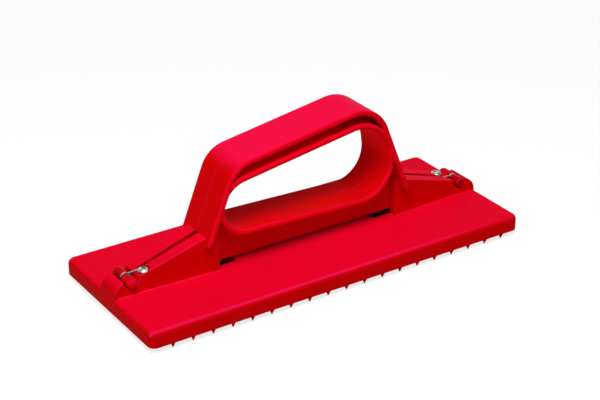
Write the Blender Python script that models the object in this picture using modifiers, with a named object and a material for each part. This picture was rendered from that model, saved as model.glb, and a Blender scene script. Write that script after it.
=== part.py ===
"""Hand-held scouring pad holder: a moulded plate with gripping spikes, a loop handle and two claw levers.

X runs along the plate, Y across it and Z up. The origin lies under the plate's centre, at the spike
tips. All sizes are in metres. Unless a name says otherwise, a height is measured from the plate's
underside, and a distance called "out" is measured along X from the middle towards either end.
"""

import math

import bmesh
import bpy
from mathutils import Matrix

OBJECT_NAME = "scouring_pad_holder"

# Plate
PLATE_LENGTH = 0.2350
PLATE_WIDTH = 0.0950
PLATE_THICKNESS = 0.0092
PLATE_CORNER_RADIUS = 0.0042
PLATE_EDGE_RADIUS = 0.0030

# Gripping spikes under the plate
SPIKE_HEIGHT = 0.0032
SPIKE_BASE_RADIUS = 0.0016
SPIKE_TIP_RADIUS = 0.00015
SPIKE_PITCH_X = 0.0117
SPIKE_PITCH_Y = 0.0114
SPIKE_FIELD_SHIFT = 0.0010
SPIKE_END_MARGIN = 0.0090
SPIKE_SIDE_MARGIN = 0.0016
SPIKE_SIDES = 6

# Lever housings: the two sloping wedges on the plate, which differ at their inner ends
HOUSING_INNER_OUT_LEFT = 0.0554
HOUSING_INNER_OUT_RIGHT = 0.0584
HOUSING_TOP = 0.0301
HOUSING_TOP_OUT = 0.0640
HOUSING_SLOPE = 0.312
HOUSING_NOSE_HALF_WIDTH = 0.0079
HOUSING_TAPER_OUT = 0.0980
HOUSING_TAPER = 0.055
HOUSING_EDGE_RADIUS = 0.0005
HOUSING_NOSE_RADIUS = 0.0015
HOUSING_ROOT = 0.0060
CRADLE_RADIUS = 0.0044
HUMP_RADIUS = 0.0080
HUMP_PAST_GRIP = 0.0026

# Space inside each housing, and the window through the plate below it
POCKET_OVER_PIVOT = 0.0054
POCKET_PAST_PIVOT = 0.0070
POCKET_HALF_WIDTH = 0.0053
SLOT_NOSE_HALF_WIDTH = 0.0011
SLOT_TAPER = 0.022
SLOT_FLOOR = 0.0112
WELL_TO_PIVOT = 0.0015
WELL_FLOOR = 0.0040
WINDOW_INNER_OUT_LEFT = 0.0430
WINDOW_INNER_OUT_RIGHT = 0.0463
WINDOW_TO_PIVOT = 0.0105
WINDOW_HALF_WIDTH = 0.0058

# Handle: the finger hole is the hull of three circles, and the strap's outer face keeps these
# distances from it above, at the left leg and at the right leg
HOLE_LEFT = (-0.0394, 0.0445)
HOLE_LEFT_RADIUS = 0.0140
HOLE_LOWER = (0.0335, 0.0456)
HOLE_LOWER_RADIUS = 0.0176
HOLE_UPPER = (0.0302, 0.0493)
HOLE_UPPER_RADIUS = 0.0204
RING_THICKNESS = 0.0032
RING_HALF_WIDTH = 0.0141
STRAP_THICKNESS = 0.0033
STRAP_HALF_WIDTH = 0.01425
STRAP_OVER_HOLE = 0.01153
STRAP_LEFT_OF_HOLE = 0.00305
STRAP_RIGHT_OF_HOLE = 0.00410
STRAP_FOOT_HEIGHT = 0.0258
STRAP_LEG_LEAN = math.radians(21.5)
STRAP_LEFT_BEND = 0.0175
STRAP_RIGHT_BEND = 0.0220
STRAP_EDGE_RADIUS = 0.0008
WEB_HALF_WIDTH = 0.0050
WEB_UNDER_PIVOT = 0.0045
WEB_FOOT_RUN = 0.0010

# Lever, claw plate and pivot
PIVOT_OUT = 0.0720
PIVOT_HEIGHT = 0.0166
PIN_RADIUS = 0.0035
PIN_CHAMFER = 0.0003
BLADE_THICKNESS = 0.0010
HUB_RADIUS = 0.0050
HEAD_RADIUS = 0.0028
ARM_TOP_ON_HEAD = math.radians(135.0)
ARM_BOTTOM_ON_HEAD = math.radians(205.0)
BLADE_FOOT_HEIGHT = 0.0028
BLADE_FOOT_SET_IN = 0.0006
CLAW_TO_PIVOT = 0.0158
CLAW_PLATE_LENGTH = 0.0092
CLAW_PLATE_HALF_WIDTH = 0.0053
CLAW_PLATE_TOP = 0.0068
CLAW_SHEET = 0.0012
CLAW_BEND_RADIUS = 0.0018
CLAW_REACH = 0.0024
CLAW_TOOTH_HEIGHT = 0.0039
CLAW_TEETH = 4
TAB_WIDTH = 0.0018
TAB_PLACE = 0.30

# Thumb grip: a closed knob on one side of the blade, its peg running into a shorter cap on the other
GRIP_OUT = 0.1064
GRIP_HEIGHT = 0.0159
KNOB_LENGTH = 0.0106
CAP_LENGTH = 0.0086
GRIP_END_RADIUS = 0.0030
GRIP_WAIST_RADIUS = 0.0026
KNOB_DOME = 0.0027
CAP_DOME = 0.0014
PEG_RADIUS = 0.0011
PEG_SINK = 0.0012

# Catch screw beside the blade
SCREW_TO_GRIP = 0.0088
SCREW_ASIDE = 0.0041
SCREW_SEAT = 0.0186
SCREW_SEAT_GAP = 0.0002
SCREW_HEAD_RADIUS = 0.0032
SCREW_HEAD_HEIGHT = 0.0021
SCREW_SHANK_RADIUS = 0.0015
SCREW_SHANK_LENGTH = 0.0085

# Clearances
FIT_GAP = 0.0003
NECK_GAP = 0.0006
BORE_GAP = 0.00025
CUT_OVERSHOOT = 0.0020

# Facets
ARC_STEP = math.radians(9.0)
TURN_STEPS = 24

RED = (0.72, 0.004, 0.020)
DEEP_RED = (0.62, 0.003, 0.016)
STEEL = (0.66, 0.67, 0.66)
BLACK_STEEL = (0.012, 0.012, 0.013)


def clear_scene():
    """Remove every object and collection that the open file holds."""
    for item in list(bpy.data.objects):
        bpy.data.objects.remove(item, do_unlink=True)
    for group in list(bpy.data.collections):
        bpy.data.collections.remove(group)


def new_collection(name):
    """Return a new collection linked to the scene."""
    group = bpy.data.collections.new(name)
    bpy.context.scene.collection.children.link(group)
    return group


def principled(name, colour, roughness, metallic):
    """Return a Principled BSDF material."""
    material = bpy.data.materials.new(name)
    material.use_nodes = True
    shader = material.node_tree.nodes["Principled BSDF"]
    shader.inputs["Base Color"].default_value = (*colour, 1.0)
    shader.inputs["Roughness"].default_value = roughness
    shader.inputs["Metallic"].default_value = metallic
    return material


def new_object(name, mesh, group, parent=None, location=(0.0, 0.0, 0.0), turn=0.0):
    """Link a mesh as an object, placed under its parent and turned about Z."""
    item = bpy.data.objects.new(name, mesh)
    group.objects.link(item)
    item.parent = parent
    item.location = location
    item.rotation_euler = (0.0, 0.0, turn)
    return item


def new_empty(name, group, parent=None, location=(0.0, 0.0, 0.0), turn=0.0):
    """Link an empty that places its children."""
    return new_object(name, None, group, parent, location, turn)


def arc(centre, radius, start, end):
    """Return the points of an arc, both ends included, from angle start to angle end."""
    count = max(2, math.ceil(abs(end - start) / ARC_STEP) + 1)
    points = []
    for index in range(count):
        angle = start + (end - start) * index / (count - 1)
        points.append((centre[0] + radius * math.cos(angle), centre[1] + radius * math.sin(angle)))
    return points


def circle(centre, radius):
    """Return the points of a full circle."""
    return arc(centre, radius, 0.0, 2.0 * math.pi)[:-1]


def circle_crossing(first, first_radius, second, second_radius, side):
    """Return one of the two points where two circles cross; side is 1 or -1."""
    across = (second[0] - first[0], second[1] - first[1])
    span = math.hypot(*across)
    along = (first_radius**2 - second_radius**2 + span**2) / (2.0 * span)
    offset = math.sqrt(max(first_radius**2 - along**2, 0.0))
    unit = (across[0] / span, across[1] / span)
    return (
        first[0] + along * unit[0] - side * offset * unit[1],
        first[1] + along * unit[1] + side * offset * unit[0],
    )


def rounded_corner(before, corner, after, radius):
    """Return the arc that rounds a corner of an outline between two straight sides."""
    back = (before[0] - corner[0], before[1] - corner[1])
    ahead = (after[0] - corner[0], after[1] - corner[1])
    back_angle = math.atan2(back[1], back[0])
    ahead_angle = math.atan2(ahead[1], ahead[0])
    opening = (ahead_angle - back_angle + math.pi) % (2.0 * math.pi) - math.pi
    reach = radius / math.tan(abs(opening) / 2.0)
    bisector = back_angle + opening / 2.0
    depth = radius / math.sin(abs(opening) / 2.0)
    centre = (corner[0] + depth * math.cos(bisector), corner[1] + depth * math.sin(bisector))
    touch = (corner[0] + reach * math.cos(back_angle), corner[1] + reach * math.sin(back_angle))
    start = math.atan2(touch[1] - centre[1], touch[0] - centre[0])
    sweep = (math.pi - abs(opening)) * (-1.0 if opening > 0.0 else 1.0)
    return arc(centre, radius, start, start + sweep)


def line_crossing(point, angle, other, other_angle):
    """Return where two lines cross, each given by a point and a direction angle."""
    direction = (math.cos(angle), math.sin(angle))
    other_direction = (math.cos(other_angle), math.sin(other_angle))
    across = (other[0] - point[0], other[1] - point[1])
    turn = direction[0] * other_direction[1] - direction[1] * other_direction[0]
    step = (across[0] * other_direction[1] - across[1] * other_direction[0]) / turn
    return (point[0] + step * direction[0], point[1] + step * direction[1])


def mirrored(points):
    """Return an outline mirrored in X, in reversed order."""
    return [(-x, z) for x, z in reversed(points)]


def slab_mesh(name, loops, half_thickness, edge_radius=0.0):
    """Return a closed mesh: an outline in X and Z, with holes, extruded both ways along Y.

    The first loop is the outline and the others are holes. Its long edges are rounded by edge_radius.
    """
    curve = bpy.data.curves.new(name, "CURVE")
    curve.dimensions = "2D"
    curve.fill_mode = "BOTH"
    curve.extrude = half_thickness - edge_radius
    curve.bevel_depth = edge_radius
    curve.bevel_resolution = 1
    curve.offset = -edge_radius
    for loop in loops:
        spline = curve.splines.new("POLY")
        spline.points.add(len(loop) - 1)
        for point, (x, z) in zip(spline.points, loop):
            point.co = (x, z, 0.0, 1.0)
        spline.use_cyclic_u = True
    holder = bpy.data.objects.new(name, curve)
    bpy.context.scene.collection.objects.link(holder)
    mesh = bpy.data.meshes.new_from_object(holder.evaluated_get(bpy.context.evaluated_depsgraph_get()))
    mesh.name = name
    bpy.data.objects.remove(holder, do_unlink=True)
    work = bmesh.new()
    work.from_mesh(mesh)
    bmesh.ops.remove_doubles(work, verts=work.verts, dist=1e-6)
    upright = Matrix.Rotation(math.pi / 2.0, 3, "X")
    bmesh.ops.rotate(work, verts=work.verts, cent=(0.0, 0.0, 0.0), matrix=upright)
    bmesh.ops.recalc_face_normals(work, faces=work.faces)
    work.to_mesh(mesh)
    work.free()
    return mesh


def box_mesh(name, low, high):
    """Return a box between two corners."""
    work = bmesh.new()
    bmesh.ops.create_cube(work, size=1.0)
    size = [b - a for a, b in zip(low, high)]
    middle = [(a + b) / 2.0 for a, b in zip(low, high)]
    bmesh.ops.scale(work, verts=work.verts, vec=size)
    bmesh.ops.translate(work, verts=work.verts, vec=middle)
    mesh = bpy.data.meshes.new(name)
    work.to_mesh(mesh)
    work.free()
    return mesh


def rod_mesh(name, radius, low, high, turn=None, place=(0.0, 0.0, 0.0)):
    """Return a cylinder along Z from low to high, then turned and placed."""
    work = bmesh.new()
    bmesh.ops.create_cone(
        work, cap_ends=True, segments=TURN_STEPS, radius1=radius, radius2=radius, depth=high - low
    )
    bmesh.ops.translate(work, verts=work.verts, vec=(0.0, 0.0, (low + high) / 2.0))
    if turn is not None:
        bmesh.ops.rotate(work, verts=work.verts, cent=(0.0, 0.0, 0.0), matrix=turn)
    bmesh.ops.translate(work, verts=work.verts, vec=place)
    mesh = bpy.data.meshes.new(name)
    work.to_mesh(mesh)
    work.free()
    return mesh


def turned_mesh(name, profile, closed=False):
    """Return a solid of revolution about Z from a profile of (radius, height), top to bottom."""
    mesh = bpy.data.meshes.new(name)
    edges = [(index, index + 1) for index in range(len(profile) - 1)]
    if closed:
        edges.append((len(profile) - 1, 0))
    mesh.from_pydata([(radius, 0.0, height) for radius, height in profile], edges, [])
    holder = bpy.data.objects.new(name, mesh)
    bpy.context.scene.collection.objects.link(holder)
    screw = holder.modifiers.new("turn", "SCREW")
    screw.axis = "Z"
    screw.steps = TURN_STEPS
    screw.render_steps = TURN_STEPS
    screw.use_merge_vertices = True
    screw.merge_threshold = 1e-6
    screw.use_normal_calculate = True
    solid = bpy.data.meshes.new_from_object(holder.evaluated_get(bpy.context.evaluated_depsgraph_get()))
    solid.name = name
    bpy.data.objects.remove(holder, do_unlink=True)
    bpy.data.meshes.remove(mesh)
    work = bmesh.new()
    work.from_mesh(solid)
    bmesh.ops.remove_doubles(work, verts=work.verts, dist=1e-6)
    bmesh.ops.recalc_face_normals(work, faces=work.faces)
    work.to_mesh(solid)
    work.free()
    return solid


def turned_about_x(mesh, angle):
    """Turn a mesh in place about its own X axis."""
    mesh.transform(Matrix.Rotation(angle, 4, "X"))
    return mesh


def shade(item, angle=math.radians(35.0)):
    """Shade an object smooth, with sharp edges kept."""
    item.data.shade_smooth()
    item.data.set_sharp_from_angle(angle=angle)


class Workshop:
    """Cutters and joined bodies, kept as live Boolean modifiers."""

    def __init__(self, group, root):
        self.group = group
        self.root = root

    def guide(self, name, mesh, turn=0.0, location=(0.0, 0.0, 0.0)):
        """Link a hidden guide object."""
        item = new_object(name, mesh, self.group, self.root, location, turn)
        item.hide_render = True
        item.display_type = "WIRE"
        return item

    def apply(self, target, name, mesh, operation, turn=0.0, location=(0.0, 0.0, 0.0)):
        """Join a guide to the target, or cut the target with it."""
        item = self.guide(name, mesh, turn, location)
        step = target.modifiers.new(name, "BOOLEAN")
        step.operation = operation
        step.solver = "EXACT"
        step.object = item


class End:
    """One end of the holder. Its meshes are made for the right end; the left one is turned about Z."""

    def __init__(self, side):
        right = side == "right"
        self.side = side
        self.sign = 1.0 if right else -1.0
        self.turn = 0.0 if right else math.pi
        self.housing_inner = HOUSING_INNER_OUT_RIGHT if right else HOUSING_INNER_OUT_LEFT
        self.window_inner = WINDOW_INNER_OUT_RIGHT if right else WINDOW_INNER_OUT_LEFT
        self.leg_centre = HOLE_UPPER if right else HOLE_LEFT
        self.leg_radius = HOLE_LEFT_RADIUS + STRAP_LEFT_OF_HOLE
        if right:
            self.leg_radius = HOLE_UPPER_RADIUS + STRAP_RIGHT_OF_HOLE

    def place(self, out, aside, height):
        """Return a position at this end."""
        return (self.sign * out, self.sign * aside, height)

    def leg_out(self, height):
        """Return how far out the outer face of the strap's leaning leg lies at a height."""
        reach = self.leg_radius + (self.leg_centre[1] - height) * math.sin(STRAP_LEG_LEAN)
        return self.sign * self.leg_centre[0] + reach / math.cos(STRAP_LEG_LEAN)


def screw_out():
    """Return how far out the catch screw stands, short of the grip."""
    return GRIP_OUT - SCREW_TO_GRIP


def hump_out():
    """Return how far out the round hump stands that the grip's cradle is cut into."""
    return GRIP_OUT + HUMP_PAST_GRIP


def pocket_top():
    """Return the height of the ceiling that the handle's tongue lies under."""
    return PIVOT_HEIGHT + POCKET_OVER_PIVOT


def web_bottom():
    """Return the height of the underside of the handle's web and tongues."""
    return PIVOT_HEIGHT - WEB_UNDER_PIVOT


def housing_top_at(out):
    """Return the height of a housing's sloping top."""
    return HOUSING_TOP - HOUSING_SLOPE * (out - HOUSING_TOP_OUT)


def widening_at(out):
    """Return how much wider each side of a housing is here than at its nose."""
    return HOUSING_TAPER * max(HOUSING_TAPER_OUT - out, 0.0)


def cradle_centre():
    """Return the centre of the cradle, which leaves the grip a fit gap from the cradle's bottom."""
    return (GRIP_OUT, GRIP_HEIGHT + CRADLE_RADIUS - GRIP_END_RADIUS - FIT_GAP)


def housing_outline(end):
    """Return the side view of a housing: slope, nose, cradle and end hump."""
    cradle = cradle_centre()
    wall = cradle[0] - CRADLE_RADIUS
    hump = (hump_out(), PLATE_THICKNESS)
    lip = circle_crossing(cradle, CRADLE_RADIUS, hump, HUMP_RADIUS, 1.0)
    points = [(end.housing_inner, HOUSING_ROOT), (end.housing_inner, housing_top_at(end.housing_inner))]
    points += rounded_corner(
        points[-1], (wall, housing_top_at(wall)), (wall, GRIP_HEIGHT), HOUSING_NOSE_RADIUS
    )
    lip_angle = math.atan2(lip[1] - cradle[1], lip[0] - cradle[0])
    points += arc(cradle, CRADLE_RADIUS, math.pi, 2.0 * math.pi + lip_angle)
    hump_start = math.atan2(lip[1] - hump[1], lip[0] - hump[0])
    points += arc(hump, HUMP_RADIUS, hump_start, 0.0)[1:]
    points.append((hump[0] + HUMP_RADIUS, HOUSING_ROOT))
    return points


def widen_inwards(mesh):
    """Widen a housing's slab towards the middle of the holder, in place."""
    work = bmesh.new()
    work.from_mesh(mesh)
    everything = list(work.verts) + list(work.edges) + list(work.faces)
    bmesh.ops.bisect_plane(
        work, geom=everything, dist=1e-7, plane_co=(HOUSING_TAPER_OUT, 0.0, 0.0), plane_no=(1.0, 0.0, 0.0)
    )
    for vertex in work.verts:
        vertex.co.y += math.copysign(widening_at(vertex.co.x), vertex.co.y)
    work.to_mesh(mesh)
    work.free()


def housing_mesh(end):
    """Return one solid housing."""
    mesh = slab_mesh("housing", [housing_outline(end)], HOUSING_NOSE_HALF_WIDTH, HOUSING_EDGE_RADIUS)
    widen_inwards(mesh)
    return mesh


def slot_mesh(end):
    """Return the cutter for the blade's slot, which widens towards the middle of the holder."""
    start = end.housing_inner - CUT_OVERSHOOT
    wide = SLOT_NOSE_HALF_WIDTH + SLOT_TAPER * (HOUSING_TAPER_OUT - start)
    narrow = SLOT_NOSE_HALF_WIDTH
    half = [(start, -wide), (HOUSING_TAPER_OUT, -narrow), (GRIP_OUT, -narrow)]
    outline = half + [(out, -aside) for out, aside in reversed(half)]
    work = bmesh.new()
    face = work.faces.new([work.verts.new((out, aside, SLOT_FLOOR)) for out, aside in outline])
    grown = bmesh.ops.extrude_face_region(work, geom=[face])
    raised = [item for item in grown["geom"] if isinstance(item, bmesh.types.BMVert)]
    top = housing_top_at(start) + CUT_OVERSHOOT
    bmesh.ops.translate(work, verts=raised, vec=(0.0, 0.0, top - SLOT_FLOOR))
    bmesh.ops.recalc_face_normals(work, faces=work.faces)
    mesh = bpy.data.meshes.new("slot")
    work.to_mesh(mesh)
    work.free()
    return mesh


def pattern(span, margin, pitch):
    """Return evenly pitched places, centred on zero, that keep a margin at both ends."""
    count = int((span - 2.0 * margin) / pitch + 1e-6) + 1
    return [(index - (count - 1) / 2.0) * pitch for index in range(count)]


def over_window(x, y, ends):
    """Tell whether a spike at this place would run into a window."""
    margin = 1.5 * SPIKE_BASE_RADIUS
    end = ends["right"] if x > 0.0 else ends["left"]
    in_length = end.window_inner - margin < abs(x) < PIVOT_OUT - WINDOW_TO_PIVOT + margin
    return in_length and abs(y) < WINDOW_HALF_WIDTH + margin


def spike_mesh(ends):
    """Return all the spikes, each let into the plate's underside."""
    work = bmesh.new()
    let_in = 0.1 * SPIKE_HEIGHT
    taper = (SPIKE_BASE_RADIUS - SPIKE_TIP_RADIUS) / SPIKE_HEIGHT
    for place_in_row in pattern(PLATE_LENGTH, SPIKE_END_MARGIN, SPIKE_PITCH_X):
        x = place_in_row + SPIKE_FIELD_SHIFT
        for y in pattern(PLATE_WIDTH, SPIKE_SIDE_MARGIN, SPIKE_PITCH_Y):
            if over_window(x, y, ends):
                continue
            place = Matrix.Translation((x, y, (let_in - SPIKE_HEIGHT) / 2.0))
            bmesh.ops.create_cone(
                work,
                cap_ends=True,
                segments=SPIKE_SIDES,
                radius1=SPIKE_TIP_RADIUS,
                radius2=SPIKE_BASE_RADIUS + taper * let_in,
                depth=SPIKE_HEIGHT + let_in,
                matrix=place,
            )
    mesh = bpy.data.meshes.new("spikes")
    work.to_mesh(mesh)
    work.free()
    return mesh


def slab_with_edges():
    """Return the bare plate: a block with round corners and a rounded top edge."""
    half = (PLATE_LENGTH / 2.0, PLATE_WIDTH / 2.0)
    mesh = box_mesh("base_plate", (-half[0], -half[1], 0.0), (half[0], half[1], PLATE_THICKNESS))
    work = bmesh.new()
    work.from_mesh(mesh)
    upright = [e for e in work.edges if abs(e.verts[0].co.z - e.verts[1].co.z) > PLATE_THICKNESS / 2.0]
    bmesh.ops.bevel(
        work, geom=upright, offset=PLATE_CORNER_RADIUS, segments=6, profile=0.5, affect="EDGES"
    )
    rim = [e for e in work.edges if min(v.co.z for v in e.verts) > PLATE_THICKNESS * 0.99]
    bmesh.ops.bevel(work, geom=rim, offset=PLATE_EDGE_RADIUS, segments=5, profile=0.5, affect="EDGES")
    work.to_mesh(mesh)
    work.free()
    return mesh


def screw_hole_mesh():
    """Return the cutter for a catch screw: a pilot hole under a seat for its head."""
    top = housing_top_at(screw_out()) + CUT_OVERSHOOT + SCREW_HEAD_RADIUS
    seat = SCREW_SEAT - FIT_GAP
    bottom = SCREW_SEAT - SCREW_SHANK_LENGTH - FIT_GAP
    seat_radius = SCREW_HEAD_RADIUS + SCREW_SEAT_GAP
    hole_radius = SCREW_SHANK_RADIUS + BORE_GAP
    profile = [
        (0.0, top),
        (seat_radius, top),
        (seat_radius, seat),
        (hole_radius, seat),
        (hole_radius, bottom),
        (0.0, bottom),
    ]
    return turned_mesh("screw_hole", profile)


def bore_mesh(name, half_length):
    """Return the cutter for a hole that the pivot pin runs through."""
    across = Matrix.Rotation(math.pi / 2.0, 3, "X")
    reach = half_length + CUT_OVERSHOOT
    return rod_mesh(name, PIN_RADIUS + BORE_GAP, -reach, reach, across, (PIVOT_OUT, 0.0, PIVOT_HEIGHT))


def cut_housing(plate, workshop, end):
    """Hollow one housing: pocket, slot, well, window, pin bore and screw hole."""
    start = end.housing_inner - CUT_OVERSHOOT
    pocket = box_mesh(
        "pocket",
        (start, -POCKET_HALF_WIDTH, PLATE_THICKNESS),
        (PIVOT_OUT + POCKET_PAST_PIVOT, POCKET_HALF_WIDTH, pocket_top()),
    )
    well_half = BLADE_THICKNESS / 2.0 + 3.0 * FIT_GAP
    well = box_mesh(
        "well",
        (start + CUT_OVERSHOOT / 2.0, -well_half, WELL_FLOOR),
        (PIVOT_OUT - WELL_TO_PIVOT, well_half, SLOT_FLOOR + CUT_OVERSHOOT),
    )
    window = box_mesh(
        "window",
        (end.window_inner, -WINDOW_HALF_WIDTH, -CUT_OVERSHOOT),
        (PIVOT_OUT - WINDOW_TO_PIVOT, WINDOW_HALF_WIDTH, PLATE_THICKNESS + CUT_OVERSHOOT / 2.0),
    )
    bore = bore_mesh("pin_bore", HOUSING_NOSE_HALF_WIDTH + widening_at(end.housing_inner))
    cuts = {
        "pocket": pocket,
        "slot": slot_mesh(end),
        "well": well,
        "window": window,
        "pin_bore": bore,
    }
    for name, mesh in cuts.items():
        workshop.apply(plate, name + "_" + end.side, mesh, "DIFFERENCE", end.turn)
    hole_place = end.place(screw_out(), SCREW_ASIDE, 0.0)
    workshop.apply(
        plate, "screw_hole_" + end.side, screw_hole_mesh(), "DIFFERENCE", end.turn, hole_place
    )


def make_base_plate(group, root, workshop, ends, material):
    """Make the plate with its two lever housings and its spikes."""
    plate = new_object("base_plate", slab_with_edges(), group, root)
    plate.data.materials.append(material)
    for end in ends.values():
        workshop.apply(plate, "housing_" + end.side, housing_mesh(end), "UNION", end.turn)
    for end in ends.values():
        cut_housing(plate, workshop, end)
    workshop.apply(plate, "spikes", spike_mesh(ends), "UNION")
    shade(plate)
    return plate


def tangent_angle(first, second):
    """Return the outward direction of the side that joins two circles of an anticlockwise hull."""
    (start, start_radius), (finish, finish_radius) = first, second
    across = (finish[0] - start[0], finish[1] - start[1])
    heading = math.atan2(across[1], across[0])
    return heading - math.acos((start_radius - finish_radius) / math.hypot(*across))


def hole_circles():
    """Return the circles that the finger hole is drawn round, anticlockwise."""
    return [(HOLE_LOWER, HOLE_LOWER_RADIUS), (HOLE_UPPER, HOLE_UPPER_RADIUS), (HOLE_LEFT, HOLE_LEFT_RADIUS)]


def hole_outline(grow):
    """Return the finger hole's outline, grown outwards by a wall."""
    circles = hole_circles()
    points = []
    for index, (centre, radius) in enumerate(circles):
        start = tangent_angle(circles[index - 1], circles[index])
        finish = tangent_angle(circles[index], circles[(index + 1) % len(circles)])
        sweep = (finish - start) % (2.0 * math.pi)
        points += arc(centre, radius + grow, start, start + sweep)
    return points


def strap_path(ends, inset, extension=0.0):
    """Return the strap's run from foot to foot, inset from its outer face, its feet extended down."""
    top_angle = tangent_angle((HOLE_UPPER, HOLE_UPPER_RADIUS), (HOLE_LEFT, HOLE_LEFT_RADIUS)) - math.pi / 2.0
    top_angle %= math.pi
    left_angle = math.pi / 2.0 - STRAP_LEG_LEAN
    right_angle = math.pi / 2.0 + STRAP_LEG_LEAN
    foot = STRAP_FOOT_HEIGHT - extension
    shift = inset / math.cos(STRAP_LEG_LEAN)
    left_foot = (shift - ends["left"].leg_out(foot), foot)
    right_foot = (ends["right"].leg_out(foot) - shift, foot)
    rise = HOLE_UPPER_RADIUS + STRAP_OVER_HOLE - inset
    crown = (HOLE_UPPER[0] - rise * math.sin(top_angle), HOLE_UPPER[1] + rise * math.cos(top_angle))
    left_corner = line_crossing(left_foot, left_angle, crown, top_angle)
    right_corner = line_crossing(right_foot, right_angle, crown, top_angle)
    points = [left_foot]
    points += rounded_corner(left_foot, left_corner, right_corner, STRAP_LEFT_BEND - inset)
    points += rounded_corner(left_corner, right_corner, right_foot, STRAP_RIGHT_BEND - inset)
    points.append(right_foot)
    return points


def tongue_outline(end):
    """Return the web's outline from the strap's foot down and round the tongue in a housing."""
    neck = end.housing_inner - NECK_GAP
    tongue_end = PIVOT_OUT + POCKET_PAST_PIVOT - FIT_GAP
    tongue_top = pocket_top() - FIT_GAP
    return [
        (neck, STRAP_FOOT_HEIGHT - 2.0 * WEB_FOOT_RUN),
        (neck, tongue_top),
        (tongue_end, tongue_top),
        (tongue_end, web_bottom()),
    ]


def web_outline(ends):
    """Return the thin web: the strap's run, closed below, with a tongue into each housing."""
    path = strap_path(ends, STRAP_THICKNESS / 2.0, WEB_FOOT_RUN)
    return path + tongue_outline(ends["right"]) + mirrored(tongue_outline(ends["left"]))


def housing_clearance_mesh(end):
    """Return the cutter that seats the handle over a housing's inner end."""
    low = (end.housing_inner - FIT_GAP, pocket_top() + FIT_GAP)
    reach = end.leg_out(STRAP_FOOT_HEIGHT) + 2.0 * STRAP_THICKNESS
    rise = FIT_GAP * math.hypot(1.0, HOUSING_SLOPE)
    outline = [
        low,
        (low[0], housing_top_at(low[0]) + rise),
        (reach, housing_top_at(reach) + rise),
        (reach, low[1]),
    ]
    mesh = slab_mesh("housing_clearance", [outline], HOUSING_NOSE_HALF_WIDTH + FIT_GAP)
    widen_inwards(mesh)
    return mesh


def make_handle(group, root, workshop, ends, material):
    """Make the handle: a strap and a finger ring on a thinner web, with two forked tongues."""
    web_loops = [web_outline(ends), hole_outline(RING_THICKNESS / 2.0)]
    handle = new_object("handle", slab_mesh("handle", web_loops, WEB_HALF_WIDTH), group, root)
    handle.data.materials.append(material)
    strap_outline = strap_path(ends, 0.0) + list(reversed(strap_path(ends, STRAP_THICKNESS)))
    strap = slab_mesh("strap", [strap_outline], STRAP_HALF_WIDTH, STRAP_EDGE_RADIUS)
    ring_loops = [hole_outline(RING_THICKNESS), hole_outline(0.0)]
    ring = slab_mesh("ring", ring_loops, RING_HALF_WIDTH, STRAP_EDGE_RADIUS)
    workshop.apply(handle, "strap", strap, "UNION")
    workshop.apply(handle, "ring", ring, "UNION")
    fork_half = BLADE_THICKNESS / 2.0 + FIT_GAP
    for end in ends.values():
        fork = box_mesh(
            "fork",
            (end.housing_inner - CUT_OVERSHOOT, -fork_half, web_bottom() - CUT_OVERSHOOT),
            (PIVOT_OUT + POCKET_PAST_PIVOT + CUT_OVERSHOOT, fork_half, pocket_top() + FIT_GAP),
        )
        cuts = {
            "housing_clearance": housing_clearance_mesh(end),
            "fork": fork,
            "tongue_bore": bore_mesh("tongue_bore", WEB_HALF_WIDTH),
        }
        for name, mesh in cuts.items():
            workshop.apply(handle, name + "_" + end.side, mesh, "DIFFERENCE", end.turn)
    shade(handle)
    return handle


def grip_place():
    """Return the grip's centre as seen from the pivot, with the outer arm along +X."""
    return GRIP_OUT - PIVOT_OUT, GRIP_HEIGHT - PIVOT_HEIGHT


def claw_span():
    """Return the inner and outer ends of the claw plate as seen from the pivot."""
    return -CLAW_TO_PIVOT - CLAW_PLATE_LENGTH, -CLAW_TO_PIVOT


def tab_places():
    """Return the middles of the blade's two tabs along X."""
    inner, outer = claw_span()
    set_in = TAB_PLACE * CLAW_PLATE_LENGTH
    return inner + set_in, outer - set_in


def blade_loops():
    """Return the blade's outline and its two holes, with the pivot at the origin."""
    grip = grip_place()
    inner, outer = claw_span()
    foot_inner = inner + BLADE_FOOT_SET_IN
    foot_outer = outer - BLADE_FOOT_SET_IN
    seat = CLAW_PLATE_TOP + FIT_GAP - PIVOT_HEIGHT
    tab_bottom = CLAW_PLATE_TOP - CLAW_SHEET - PIVOT_HEIGHT
    points = arc(grip, HEAD_RADIUS, ARM_BOTTOM_ON_HEAD, ARM_TOP_ON_HEAD + 2.0 * math.pi)
    points += arc((0.0, 0.0), HUB_RADIUS, math.radians(80.0), math.radians(165.0))
    points += [(foot_outer, seat + BLADE_FOOT_HEIGHT), (foot_inner, seat + BLADE_FOOT_HEIGHT)]
    points.append((foot_inner, seat))
    for middle in tab_places():
        low = middle - TAB_WIDTH / 2.0
        high = middle + TAB_WIDTH / 2.0
        points += [(low, seat), (low, tab_bottom), (high, tab_bottom), (high, seat)]
    points.append((foot_outer, seat))
    points += arc((0.0, 0.0), HUB_RADIUS, math.radians(245.0), math.radians(290.0))
    return [points, circle((0.0, 0.0), PIN_RADIUS + BORE_GAP), circle(grip, PEG_RADIUS + BORE_GAP)]


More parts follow.
